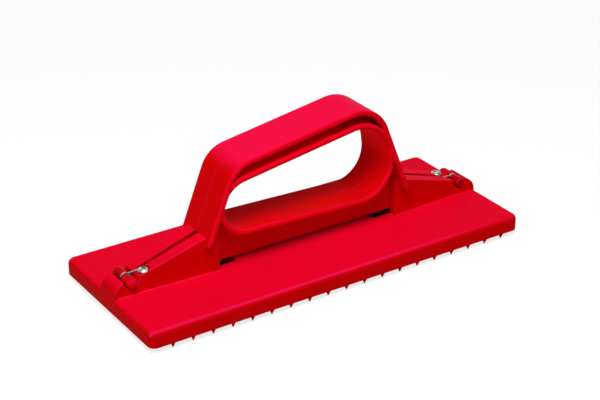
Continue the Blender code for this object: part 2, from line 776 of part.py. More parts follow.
def claw_outline():
    """Return the claw plate's channel section, with the pivot at the origin."""
    inner, outer = claw_span()
    top = CLAW_PLATE_TOP - PIVOT_HEIGHT
    bottom = -CLAW_REACH - PIVOT_HEIGHT
    corner = CLAW_BEND_RADIUS
    inside = CLAW_BEND_RADIUS - CLAW_SHEET
    left = inner + CLAW_SHEET
    right = outer - CLAW_SHEET
    under = top - CLAW_SHEET
    points = [(inner, bottom)]
    points += rounded_corner((inner, bottom), (inner, top), (outer, top), corner)
    points += rounded_corner((inner, top), (outer, top), (outer, bottom), corner)
    points += [(outer, bottom), (right, bottom)]
    points += rounded_corner((right, bottom), (right, under), (left, under), inside)
    points += rounded_corner((right, under), (left, under), (left, bottom), inside)
    points.append((left, bottom))
    return points


def tooth_gap_mesh():
    """Return the prisms that cut the teeth into the claw plate's two legs."""
    inner, outer = claw_span()
    pitch = 2.0 * CLAW_PLATE_HALF_WIDTH / CLAW_TEETH
    tip = -CLAW_REACH - PIVOT_HEIGHT
    flat = 0.06 * pitch
    work = bmesh.new()
    for index in range(CLAW_TEETH + 1):
        y = -CLAW_PLATE_HALF_WIDTH + index * pitch
        spread = (pitch / 2.0 - flat) * 1.2
        corners = [
            (y, tip + CLAW_TOOTH_HEIGHT),
            (y - spread, tip - 0.2 * CLAW_TOOTH_HEIGHT),
            (y + spread, tip - 0.2 * CLAW_TOOTH_HEIGHT),
        ]
        verts = [work.verts.new((inner - CUT_OVERSHOOT, a, b)) for a, b in corners]
        face = work.faces.new(verts)
        grown = bmesh.ops.extrude_face_region(work, geom=[face])
        moved = [item for item in grown["geom"] if isinstance(item, bmesh.types.BMVert)]
        reach = outer - inner + 2.0 * CUT_OVERSHOOT
        bmesh.ops.translate(work, verts=moved, vec=(reach, 0.0, 0.0))
    bmesh.ops.recalc_face_normals(work, faces=work.faces)
    mesh = bpy.data.meshes.new("tooth_gaps")
    work.to_mesh(mesh)
    work.free()
    return mesh


def grip_profile_outer(length, dome):
    """Return the outside of a grip half, from its domed end to its waist at the blade."""
    waist = BLADE_THICKNESS / 2.0 + FIT_GAP
    shoulder = length - dome
    face_radius = GRIP_END_RADIUS - dome
    rounding = arc((face_radius, shoulder), dome, math.radians(80.0), 0.0)
    belly_radius = (GRIP_WAIST_RADIUS + 3.0 * GRIP_END_RADIUS) / 4.0
    belly = (belly_radius, (waist + shoulder) / 2.0)
    return [(face_radius / 2.0, length)] + rounding + [belly, (GRIP_WAIST_RADIUS, waist)]


def knob_mesh():
    """Return the grip half with the closed end, its peg running through the blade and the other half."""
    waist = BLADE_THICKNESS / 2.0 + FIT_GAP
    profile = [(0.0, KNOB_LENGTH)] + grip_profile_outer(KNOB_LENGTH, KNOB_DOME)
    profile += [(PEG_RADIUS, waist), (PEG_RADIUS, PEG_SINK - CAP_LENGTH)]
    profile.append((0.0, PEG_SINK - CAP_LENGTH))
    return turned_mesh("thumb_knob", profile)


def cap_mesh():
    """Return the grip half that the peg passes through."""
    hole = PEG_RADIUS + BORE_GAP
    waist = BLADE_THICKNESS / 2.0 + FIT_GAP
    outer = [point for point in grip_profile_outer(CAP_LENGTH, CAP_DOME) if point[0] > hole]
    profile = [(hole, CAP_LENGTH)] + outer + [(hole, waist)]
    return turned_mesh("thumb_cap", profile, closed=True)


def pin_mesh():
    """Return the pivot pin, with small chamfers, along Z."""
    half_length = HOUSING_NOSE_HALF_WIDTH + widening_at(PIVOT_OUT) - PIN_CHAMFER
    profile = [
        (0.0, half_length),
        (PIN_RADIUS - PIN_CHAMFER, half_length),
        (PIN_RADIUS, half_length - PIN_CHAMFER),
        (PIN_RADIUS, PIN_CHAMFER - half_length),
        (PIN_RADIUS - PIN_CHAMFER, -half_length),
        (0.0, -half_length),
    ]
    return turned_mesh("pivot_pin", profile)


def screw_mesh():
    """Return the catch screw: a pan head on a shank with a pointed end, seated at the origin."""
    rim = 0.35 * SCREW_HEAD_HEIGHT
    crown_radius = 0.72 * SCREW_HEAD_RADIUS
    end = 1.2 * SCREW_SHANK_RADIUS
    profile = [
        (0.0, SCREW_HEAD_HEIGHT),
        (0.5 * crown_radius, 0.97 * SCREW_HEAD_HEIGHT),
        (crown_radius, 0.86 * SCREW_HEAD_HEIGHT),
        (0.93 * SCREW_HEAD_RADIUS, 0.62 * SCREW_HEAD_HEIGHT),
        (SCREW_HEAD_RADIUS, rim),
        (SCREW_HEAD_RADIUS, 0.0),
        (SCREW_SHANK_RADIUS, 0.0),
        (SCREW_SHANK_RADIUS, end - SCREW_SHANK_LENGTH),
        (0.3 * SCREW_SHANK_RADIUS, -SCREW_SHANK_LENGTH),
        (0.0, -SCREW_SHANK_LENGTH),
    ]
    return turned_mesh("catch_screw", profile)


def make_lever(end, group, root, workshop, materials):
    """Make one lever on its pivot: blade, claw plate and both grip halves."""
    side = end.side
    axis = new_empty("lever_axis_" + side, group, root, end.place(PIVOT_OUT, 0.0, PIVOT_HEIGHT), end.turn)
    blade = new_object("lever_" + side, slab_mesh("lever", blade_loops(), BLADE_THICKNESS / 2.0), group, axis)
    blade.data.materials.append(materials["steel"])
    claw_mesh = slab_mesh("claw_plate", [claw_outline()], CLAW_PLATE_HALF_WIDTH)
    claw = new_object("claw_plate_" + side, claw_mesh, group, axis)
    claw.data.materials.append(materials["dark_steel"])
    on_lever = Workshop(workshop.group, axis)
    on_lever.apply(claw, "tooth_gaps_" + side, tooth_gap_mesh(), "DIFFERENCE")
    top = CLAW_PLATE_TOP - PIVOT_HEIGHT
    for index, middle in enumerate(tab_places()):
        half = TAB_WIDTH / 2.0 + BORE_GAP
        tab_hole = box_mesh(
            "tab_hole",
            (middle - half, -BLADE_THICKNESS / 2.0 - BORE_GAP, top - 2.0 * CLAW_SHEET),
            (middle + half, BLADE_THICKNESS / 2.0 + BORE_GAP, top + CLAW_SHEET),
        )
        on_lever.apply(claw, "tab_hole_%d_%s" % (index, side), tab_hole, "DIFFERENCE")
    grip = grip_place()
    knob_data = turned_about_x(knob_mesh(), -math.pi / 2.0)
    knob = new_object("thumb_knob_" + side, knob_data, group, axis, (grip[0], 0.0, grip[1]))
    knob.data.materials.append(materials["grip"])
    cap_data = turned_about_x(cap_mesh(), math.pi / 2.0)
    cap = new_object("thumb_cap_" + side, cap_data, group, axis, (grip[0], 0.0, grip[1]))
    cap.data.materials.append(materials["grip"])
    for item in (blade, claw, knob, cap):
        shade(item)


def make_fixings(end, group, root, materials):
    """Make the pivot pin and the catch screw of one housing."""
    pin_data = turned_about_x(pin_mesh(), math.pi / 2.0)
    pin_place = end.place(PIVOT_OUT, 0.0, PIVOT_HEIGHT)
    pin = new_object("pivot_pin_" + end.side, pin_data, group, root, pin_place)
    pin.data.materials.append(materials["grip"])
    screw_place = end.place(screw_out(), SCREW_ASIDE, SCREW_SEAT)
    screw = new_object("catch_screw_" + end.side, screw_mesh(), group, root, screw_place)
    screw.data.materials.append(materials["steel"])
    for item in (pin, screw):
        shade(item)


def main():
    """Build the whole pad holder."""
    clear_scene()
    parts = new_collection(OBJECT_NAME)
    guides = new_collection("cutters")
    materials = {
        "body": principled("red_plastic", RED, 0.42, 0.0),
        "grip": principled("red_grip_plastic", DEEP_RED, 0.38, 0.0),
        "steel": principled("stainless_steel", STEEL, 0.25, 1.0),
        "dark_steel": principled("black_steel", BLACK_STEEL, 0.45, 0.0),
    }
    root = new_empty("underside", parts, None, (0.0, 0.0, SPIKE_HEIGHT))
    workshop = Workshop(guides, root)
    ends = {side: End(side) for side in ("left", "right")}
    make_base_plate(parts, root, workshop, ends, materials["body"])
    make_handle(parts, root, workshop, ends, materials["body"])
    for end in ends.values():
        make_lever(end, parts, root, workshop, materials)
        make_fixings(end, parts, root, materials)


main()
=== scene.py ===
"""Dressed scene of a hand-held scouring pad holder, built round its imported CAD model.

Lengths are in metres. Heights in the size classes are measured from the plate's underside, and every
finished mesh is lifted by the spike height so that it lies in the CAD frame. "Out" is a distance along
X from the middle towards either end.
"""

import logging
import math
from collections.abc import Iterator
from contextlib import contextmanager
from dataclasses import dataclass, field
from enum import Enum

import bmesh
import bpy
from mathutils import Matrix, Vector


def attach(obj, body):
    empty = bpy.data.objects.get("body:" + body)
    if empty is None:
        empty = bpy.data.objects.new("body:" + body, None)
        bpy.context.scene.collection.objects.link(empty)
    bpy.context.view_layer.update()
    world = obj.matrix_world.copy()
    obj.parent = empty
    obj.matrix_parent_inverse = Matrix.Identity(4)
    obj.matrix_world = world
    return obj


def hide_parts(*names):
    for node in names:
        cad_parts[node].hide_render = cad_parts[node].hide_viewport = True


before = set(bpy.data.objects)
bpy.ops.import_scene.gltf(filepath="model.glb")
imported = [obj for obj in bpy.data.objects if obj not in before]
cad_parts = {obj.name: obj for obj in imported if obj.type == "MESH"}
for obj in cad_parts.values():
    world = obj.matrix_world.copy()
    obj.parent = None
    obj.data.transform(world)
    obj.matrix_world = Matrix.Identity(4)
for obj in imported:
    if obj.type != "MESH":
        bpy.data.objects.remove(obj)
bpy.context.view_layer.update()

Point = tuple[float, float]
Point3 = tuple[float, float, float]
Outline = list[Point]
Circle = tuple[Point, float]
Colour = tuple[float, float, float]
Item = bpy.types.Object
Mesh = bpy.types.Mesh
Material = bpy.types.Material
Node = bpy.types.Node
Socket = bpy.types.NodeSocket

LOG = logging.getLogger("pad_holder")
TAU = 2.0 * math.pi
QUARTER = math.pi / 2.0
FINE_STEP = math.radians(4.0)
COARSE_STEP = math.radians(15.0)
MERGE_DISTANCE = 1e-6
ROUNDING_GUARD = 1e-6
PIN_FACETS = 64
HOLE_FACETS = 48
TURNED_FACETS = 40
SOFT_STEPS = 4
RISING: Point = (0.0, 1.0)
FALLING: Point = (1.0, 0.0)

SPIKE_HEIGHT = 0.0032
PIVOT: Point = (0.0720, 0.0166)
PIN_RADIUS = 0.0035
SCREW_PLACE: Point3 = (0.0976, 0.0041, 0.0186)


class Side(Enum):
    """The two ends of the holder. Meshes are made for the right end and turned for the left one."""

    LEFT = "left"
    RIGHT = "right"

    @property
    def turn(self) -> Matrix:
        """Return the turn about Z that brings a mesh of the right end to this end."""
        return Matrix.Rotation(self.pick(math.pi, 0.0), 4, "Z")

    @property
    def pivot(self) -> Matrix:
        """Return the matrix that takes a mesh made round the pivot to this end's pivot."""
        return self.turn @ Matrix.Translation((PIVOT[0], 0.0, PIVOT[1]))

    def pick(self, left: float, right: float) -> float:
        """Return the one of two sizes that belongs to this end."""
        return right if self is Side.RIGHT else left


class Cut(Enum):
    """How a tool changes the mesh that it meets."""

    JOIN = "UNION"
    REMOVE = "DIFFERENCE"


def arc(centre: Point, radius: float, start: float, end: float, step: float = FINE_STEP) -> Outline:
    """Return points on an arc, both ends included.

    Args:
        centre: The arc's centre.
        radius: Its radius.
        start: The first point's direction, in radians.
        end: The last point's direction.
        step: The largest angle between neighbours.

    Returns:
        The points in order.
    """
    count = max(2, math.ceil(abs(end - start) / step) + 1)
    angles = [start + (end - start) * index / (count - 1) for index in range(count)]
    return [(centre[0] + radius * math.cos(a), centre[1] + radius * math.sin(a)) for a in angles]


def direction(start: Point, end: Point) -> float:
    """Return the direction from one point to another, in radians."""
    return math.atan2(end[1] - start[1], end[0] - start[0])


def corner(before: Point, tip: Point, after: Point, radius: float) -> Outline:
    """Return the arc that rounds a corner between two straight sides.

    Args:
        before: A point on the side that leads to the corner.
        tip: The sharp corner.
        after: A point on the side that leaves it.
        radius: The rounding's radius.

    Returns:
        The arc's points, from the first side to the second.
    """
    back = direction(tip, before)
    opening = (direction(tip, after) - back + math.pi) % TAU - math.pi
    depth = radius / math.sin(abs(opening) / 2.0)
    bisector = back + opening / 2.0
    centre = (tip[0] + depth * math.cos(bisector), tip[1] + depth * math.sin(bisector))
    reach = radius / math.tan(abs(opening) / 2.0)
    start = direction(centre, (tip[0] + reach * math.cos(back), tip[1] + reach * math.sin(back)))
    return arc(centre, radius, start, start + math.copysign(math.pi - abs(opening), -opening))


def rounded(tips: list[Point3]) -> Outline:
    """Return an outline from its corners.

    Args:
        tips: Each corner's X, Z and rounding radius, 0 for a sharp one.

    Returns:
        The outline's points.
    """
    points: Outline = []
    for index, (x, z, radius) in enumerate(tips):
        before, after = tips[index - 1][:2], tips[(index + 1) % len(tips)][:2]
        points += corner(before, (x, z), after, radius) if radius else [(x, z)]
    return points


def crossing(point: Point, angle: float, other: Point, other_angle: float) -> Point:
    """Return where two lines cross.

    Args:
        point: A point on the first line.
        angle: The first line's direction, in radians.
        other: A point on the second line.
        other_angle: The second line's direction.

    Returns:
        The common point.
    """
    ahead = (math.cos(angle), math.sin(angle))
    other_ahead = (math.cos(other_angle), math.sin(other_angle))
    across = (other[0] - point[0], other[1] - point[1])
    turn = ahead[0] * other_ahead[1] - ahead[1] * other_ahead[0]
    step = (across[0] * other_ahead[1] - across[1] * other_ahead[0]) / turn
    return (point[0] + step * ahead[0], point[1] + step * ahead[1])


def circles_meet(first: Point, first_radius: float, second: Point, second_radius: float) -> Point:
    """Return the upper point where two circles cross, the second one lying to the right.

    Args:
        first: The first circle's centre.
        first_radius: Its radius.
        second: The second circle's centre.
        second_radius: Its radius.

    Returns:
        The common point.
    """
    across = (second[0] - first[0], second[1] - first[1])
    span = math.hypot(*across)
    along = (first_radius**2 - second_radius**2 + span**2) / (2.0 * span)
    offset = math.sqrt(first_radius**2 - along**2)
    unit = (across[0] / span, across[1] / span)
    return (first[0] + along * unit[0] - offset * unit[1], first[1] + along * unit[1] + offset * unit[0])


def linked(name: str, data: bpy.types.ID) -> Item:
    """Add an object to the scene.

    Args:
        name: The object's name.
        data: The mesh, curve, lamp or camera that it carries.

    Returns:
        The new object.
    """
    item = bpy.data.objects.new(name, data)
    bpy.context.scene.collection.objects.link(item)
    return item


def put(mesh: Mesh, matrix: Matrix) -> Mesh:
    """Move a mesh in place by a matrix and return it."""
    mesh.transform(matrix)
    return mesh


@contextmanager
def edited(mesh: Mesh) -> Iterator[bmesh.types.BMesh]:
    """Open a mesh for editing and write it back afterwards.

    Args:
        mesh: The mesh, changed in place.

    Returns:
        A context that gives the opened mesh.
    """
    work = bmesh.new()
    work.from_mesh(mesh)
    yield work
    work.to_mesh(mesh)
    work.free()


class Bench:
    """Mesh tools that every sub-assembly shares."""

    @staticmethod
    def settle(item: Item, name: str) -> Mesh:
        """Apply an object's modifiers and remove the object.

        Args:
            item: The object.
            name: The name for its mesh.

        Returns:
            The mesh with the modifiers applied.
        """
        graph = bpy.context.evaluated_depsgraph_get()
        mesh = bpy.data.meshes.new_from_object(item.evaluated_get(graph))
        mesh.name = name
        bpy.data.objects.remove(item, do_unlink=True)
        return mesh

    @staticmethod
    def rework(mesh: Mesh, tip: float = 0.0) -> Mesh:
        """Merge a mesh's doubles and turn its faces outwards, after tipping it about X.

        Args:
            mesh: The mesh, changed in place.
            tip: The angle about X, in radians.

        Returns:
            The same mesh.
        """
        with edited(mesh) as work:
            bmesh.ops.remove_doubles(work, verts=work.verts, dist=MERGE_DISTANCE)
            if tip:
                bmesh.ops.rotate(work, verts=work.verts, cent=(0, 0, 0), matrix=Matrix.Rotation(tip, 3, "X"))
            bmesh.ops.recalc_face_normals(work, faces=work.faces)
        return mesh

    @classmethod
    def slab(cls, name: str, loops: list[Outline], half: float, edge: float = 0.0, steps: int = 3) -> Mesh:
        """Extrude an outline in X and Z both ways along Y, with rounded long edges.

        Args:
            name: The mesh's name.
            loops: The outline, then its holes.
            half: Half the thickness along Y.
            edge: The edge rounding's radius.
            steps: The rounding's segments.

        Returns:
            A closed mesh.
        """
        curve = bpy.data.curves.new(name, "CURVE")
        curve.dimensions = "2D"
        curve.fill_mode = "BOTH"
        curve.extrude = half - edge
        curve.bevel_depth = edge
        curve.bevel_resolution = steps - 1
        curve.offset = -edge
        for loop in loops:
            spline = curve.splines.new("POLY")
            spline.points.add(len(loop) - 1)
            for point, (x, z) in zip(spline.points, loop):
                point.co = (x, z, 0.0, 1.0)
            spline.use_cyclic_u = True
        return cls.rework(cls.settle(linked(name, curve), name), QUARTER)

    @classmethod
    def prism(cls, name: str, sections: list[list[Point3]]) -> Mesh:
        """Skin a row of closed sections, their corners in the same order, and close both ends.

        Args:
            name: The mesh's name.
            sections: The sections' corner points, as many in each.

        Returns:
            A closed mesh.
        """
        mesh = bpy.data.meshes.new(name)
        with edited(mesh) as work:
            rows = [[work.verts.new(point) for point in section] for section in sections]
            for row, following in zip(rows, rows[1:]):
                for index in range(len(row)):
                    after = (index + 1) % len(row)
                    work.faces.new((row[index], row[after], following[after], following[index]))
            work.faces.new(rows[0])
            work.faces.new(rows[-1])
        return cls.rework(mesh)

    @classmethod
    def box(cls, name: str, low: Point3, high: Point3) -> Mesh:
        """Return a box between two corners."""
        square = [(low[0], low[1]), (high[0], low[1]), (high[0], high[1]), (low[0], high[1])]
        return cls.prism(name, [[(x, y, z) for x, y in square] for z in (low[2], high[2])])

    @classmethod
    def lathe(cls, name: str, profile: Outline, steps: int, tip: float = 0.0, shut: bool = False) -> Mesh:
        """Turn a profile about Z, then tip it about X.

        Args:
            name: The mesh's name.
            profile: Points of (radius, height).
            steps: The number of facets round the axis.
            tip: The angle about X, in radians.
            shut: Whether the profile closes on itself, as in a tube.

        Returns:
            A closed mesh.
        """
        mesh = bpy.data.meshes.new(name)
        edges = [(index, index + 1) for index in range(len(profile) - 1)]
        if shut:
            edges.append((len(profile) - 1, 0))
        mesh.from_pydata([(radius, 0.0, height) for radius, height in profile], edges, [])
        item = linked(name, mesh)
        turn = item.modifiers.new("turn", "SCREW")
        turn.steps = turn.render_steps = steps
        turn.use_merge_vertices = True
        turn.merge_threshold = MERGE_DISTANCE
        return cls.rework(cls.settle(item, name), tip)

    @classmethod
    def bore(cls, radius: float, reach: float, steps: int) -> Mesh:
        """Return the cutter of a round hole along Y."""
        profile = [(0.0, reach), (radius, reach), (radius, -reach), (0.0, -reach)]
        return cls.lathe("bore", profile, steps, QUARTER)

    @classmethod
    def work_on(cls, mesh: Mesh, joined: list[Mesh], removed: list[Mesh]) -> Mesh:
        """Join meshes to a mesh one after another, then cut it with others.

        Args:
            mesh: The mesh to change.
            joined: The meshes that are joined to it.
            removed: The cutters.

        Returns:
            The new mesh.
        """
        item = linked(mesh.name, mesh)
        helpers = []
        for kind, tools in ((Cut.JOIN, joined), (Cut.REMOVE, removed)):
            for tool in tools:
                helpers.append(linked(tool.name, tool))
                step = item.modifiers.new(tool.name, "BOOLEAN")
                step.operation = kind.value
                step.solver = "EXACT"
                step.object = helpers[-1]
        result = cls.settle(item, mesh.name)
        for helper in helpers:
            bpy.data.objects.remove(helper, do_unlink=True)
        return result

    @classmethod
    def smooth(cls, mesh: Mesh, crease: float, flat_weight: int = 80) -> Mesh:
        """Shade a mesh smooth, flat faces leading the normals.

        Args:
            mesh: The mesh.
            crease: Edges sharper than this stay sharp, in radians.
            flat_weight: How strongly large faces lead.

        Returns:
            A mesh with the normals stored.
        """
        mesh.shade_smooth()
        mesh.set_sharp_from_angle(angle=crease)
        item = linked(mesh.name, mesh)
        weight = item.modifiers.new("weight", "WEIGHTED_NORMAL")
        weight.keep_sharp = True
        weight.weight = flat_weight
        return cls.settle(item, mesh.name)


@dataclass(frozen=True)
class Piece:
    """Where a finished mesh belongs: its body and the CAD node that it replaces, with a slot that is stored
    but not used.
    """

    name: str
    body: str
    slot: str
    node: str
    crease: float = math.radians(32.0)

    def make(self, mesh: Mesh, material: Material) -> None:
        """Lift a mesh into the CAD frame, dress it and hang it on its body.

        Args:
            mesh: The finished mesh.
            material: Its finish.
        """
        mesh = Bench.smooth(put(mesh, Matrix.Translation((0.0, 0.0, SPIKE_HEIGHT))), self.crease)
        mesh.name = self.name
        mesh.materials.clear()
        mesh.materials.append(material)
        item = linked(self.name, mesh)
        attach(item, self.body)
        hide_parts(self.node)
        LOG.info("%s: %d faces on %s", self.name, len(mesh.polygons), self.body)


class Wiring:
    """A node tree with short ways to add nodes and feed them."""

    def __init__(self, tree: bpy.types.NodeTree) -> None:
        """Hold a node tree."""
        self.tree = tree

    def feed(self, node: Node, inputs: dict[str | int, object]) -> None:
        """Link sockets to a node's inputs, and set plain values on them.

        Args:
            node: The node.
            inputs: A socket or a value for each input's name or number.
        """
        for key, value in inputs.items():
            if isinstance(value, Socket):
                self.tree.links.new(value, node.inputs[key])
            else:
                node.inputs[key].default_value = value

    def add(self, kind: str, inputs: dict[str | int, object] | None = None, **settings: object) -> Node:
        """Add a node.

        Args:
            kind: The node's type.
            inputs: What feeds it.
            settings: Its properties.

        Returns:
            The node.
        """
        node = self.tree.nodes.new(kind)
        for key, value in settings.items():
            setattr(node, key, value)
        self.feed(node, inputs or {})
        return node

    def math(self, operation: str, first: Socket, second: Socket | float = 0.0) -> Socket:
        """Return the result of a Math node."""
        return self.add("ShaderNodeMath", {0: first, 1: second}, operation=operation).outputs[0]

    def product(self, first: Socket, *others: Socket) -> Socket:
        """Multiply values together.

        Args:
            first: The first value.
            others: The other values.

        Returns:
            The product's socket.
        """
        for other in others:
            first = self.math("MULTIPLY", first, other)
        return first

    def parts(self, vector: Socket) -> bpy.types.NodeOutputs:
        """Return the X, Y and Z of a vector."""
        return self.add("ShaderNodeSeparateXYZ", {0: vector}).outputs

    def seen_directly(self) -> Socket:
        """Tell rays from the camera, a mirror or glass from light's own rays.

        Returns:
            A socket with 1 for the first kind and 0 for the second.
        """
        rays = self.add("ShaderNodeLightPath").outputs
        largest = rays["Is Camera Ray"]
        for name in ("Is Glossy Ray", "Is Transmission Ray"):
            largest = self.math("MAXIMUM", largest, rays[name])
        return largest


class Probe(Enum):
    """What a material can read of a point: its place, or where the surface faces there."""

    OUT = ("Object", "X")
    ASIDE = ("Object", "Y")
    HEIGHT = ("Object", "Z")
    FACING_OUT = ("Normal", "X")
    FACING_ASIDE = ("Normal", "Y")
    FACING_UP = ("Normal", "Z")


class Board(Wiring):
    """A material's tree, with the piece's own coordinates and directions at hand."""

    def __init__(self, name: str) -> None:
        """Start the tree of a new material.

        Args:
            name: The material's name.
        """
        self.material = bpy.data.materials.new(name)
        self.material.use_nodes = True
        super().__init__(self.material.node_tree)
        self.shader = self.tree.nodes["Principled BSDF"]
        self.sources = self.add("ShaderNodeTexCoord").outputs

    def measure(self, key: Probe) -> Socket:
        """Read a probe, without its sign along Y, where the holder is alike on both sides.

        Args:
            key: What is measured.

        Returns:
            The value's socket.
        """
        source, axis = key.value
        part = self.parts(self.sources[source])[axis]
        return self.math("ABSOLUTE", part) if axis == "Y" else part

    def mask(self, *bands: tuple[Probe, Point, Point]) -> Socket:
        """Return soft steps multiplied, each a probe, where the step runs and what it goes from and to."""
        return self.product(*(self.ranged(self.measure(key), *band) for key, *band in bands))

    def noise(
        self, scale: float, detail: float = 2.0, rough: float = 0.55, stretch: Point3 = (1.0, 1.0, 1.0)
    ) -> Socket:
        """Return the value of a noise in the piece's own metres.

        Args:
            scale: Features per metre.
            detail: The number of octaves.
            rough: How strong the finer octaves are.
            stretch: How much tighter the noise is along each axis.

        Returns:
            The noise's value socket.
        """
        point = self.add("ShaderNodeMapping", {"Vector": self.sources["Object"], "Scale": stretch}).outputs[0]
        inputs = {"Vector": point, "Scale": scale, "Detail": detail, "Roughness": rough}
        return self.add("ShaderNodeTexNoise", inputs).outputs["Fac"]

    def ranged(self, value: Socket, source: Point, target: Point = RISING) -> Socket:
        """Return a value moved softly from one range to another, clamped.

        Args:
            value: The value.
            source: The range that it comes in.
            target: The range that it goes to.

        Returns:
            The new value's socket.
        """
        names = ("From Min", "From Max", "To Min", "To Max")
        inputs = {"Value": value, **dict(zip(names, (*source, *target)))}
        return self.add("ShaderNodeMapRange", inputs, interpolation_type="SMOOTHSTEP").outputs["Result"]

    def blend(self, factor: Socket, first: Colour | Socket, second: Colour | Socket) -> Socket:
        """Mix two colours.

        Args:
            factor: 0 for the first colour, 1 for the second.
            first: A colour or a colour's socket.
            second: The same.

        Returns:
            The mixed colour's socket.
        """
        inputs: dict[str | int, object] = {"Factor": factor}
        for key, value in ((6, first), (7, second)):
            inputs[key] = value if isinstance(value, Socket) else (*value, 1.0)
        return self.add("ShaderNodeMix", inputs, data_type="RGBA").outputs[2]

    def bump(self, height: Socket, distance: float, below: Socket | None = None) -> Socket:
        """Return a normal bumped by a height.

        Args:
            height: The height, from 0 to 1.
            distance: How deep 1 is, in metres.
            below: A normal to build on.

        Returns:
            The normal's socket.
        """
        inputs = {"Strength": 1.0, "Distance": distance, "Height": height}
        if below is not None:
            inputs["Normal"] = below
        return self.add("ShaderNodeBump", inputs).outputs["Normal"]


@dataclass(frozen=True)
class HandleTones:
    """The painted light that only some places of the handle get, and where these places lie: a painted
    highlight on the rim faces and painted fill light in shaded gaps.
    """

    # Painted highlight colour on the rim faces.
    rim: Colour
    # Painted fill light: a brighter red for places that the lamp leaves in shade.
    painted_fill: Colour
    rim_from: float = 0.0125
    rim_fade: float = 0.001
    rim_facing: Point = (0.55, 0.90)
    gap_left: Point = (-0.050, -0.046)
    gap_right: Point = (0.005, 0.030)
    wall_from: Point = (0.030, 0.042)
    wall_facing: Point = (-0.9, -0.4)
    shelter_from: Point = (0.046, 0.056)
    shelter_aside: Point = (0.0122, 0.0134)
    seam_tone: float = 0.22
    seam_width: Point = (0.0003, 0.0009)
    seam_ridge: Point = (0.00005, 0.00030)
    seam_height: float = 0.00006

    def rim_highlight_mask(self, board: Board) -> Socket:
        """Return 1 on side faces further out than the rim's place, where the painted rim highlight goes, and
        0 elsewhere.
        """
        place = (self.rim_from - self.rim_fade, self.rim_from)
        return board.mask((Probe.FACING_ASIDE, self.rim_facing, RISING), (Probe.ASIDE, place, RISING))

    def fill_light_mask(self, board: Board, low: Socket) -> Socket:
        """Return 1 where painted fill light lightens the lamp's shade: in the gap under the strap and on the
        ring's upper right wall, and 0 elsewhere.

        Args:
            board: The tree.
            low: 1 below the strap's top and 0 on it.

        Returns:
            The factor's socket.
        """
        gap = board.mask((Probe.OUT, self.gap_left, RISING), (Probe.OUT, self.gap_right, FALLING))
        wall = board.mask((Probe.FACING_OUT, self.wall_facing, FALLING), (Probe.OUT, self.wall_from, RISING))
        both = board.math("ADD", board.product(low, gap), wall)
        inside = board.mask(
            (Probe.HEIGHT, self.shelter_from, RISING), (Probe.ASIDE, self.shelter_aside, FALLING)
        )
        return board.product(both, inside)


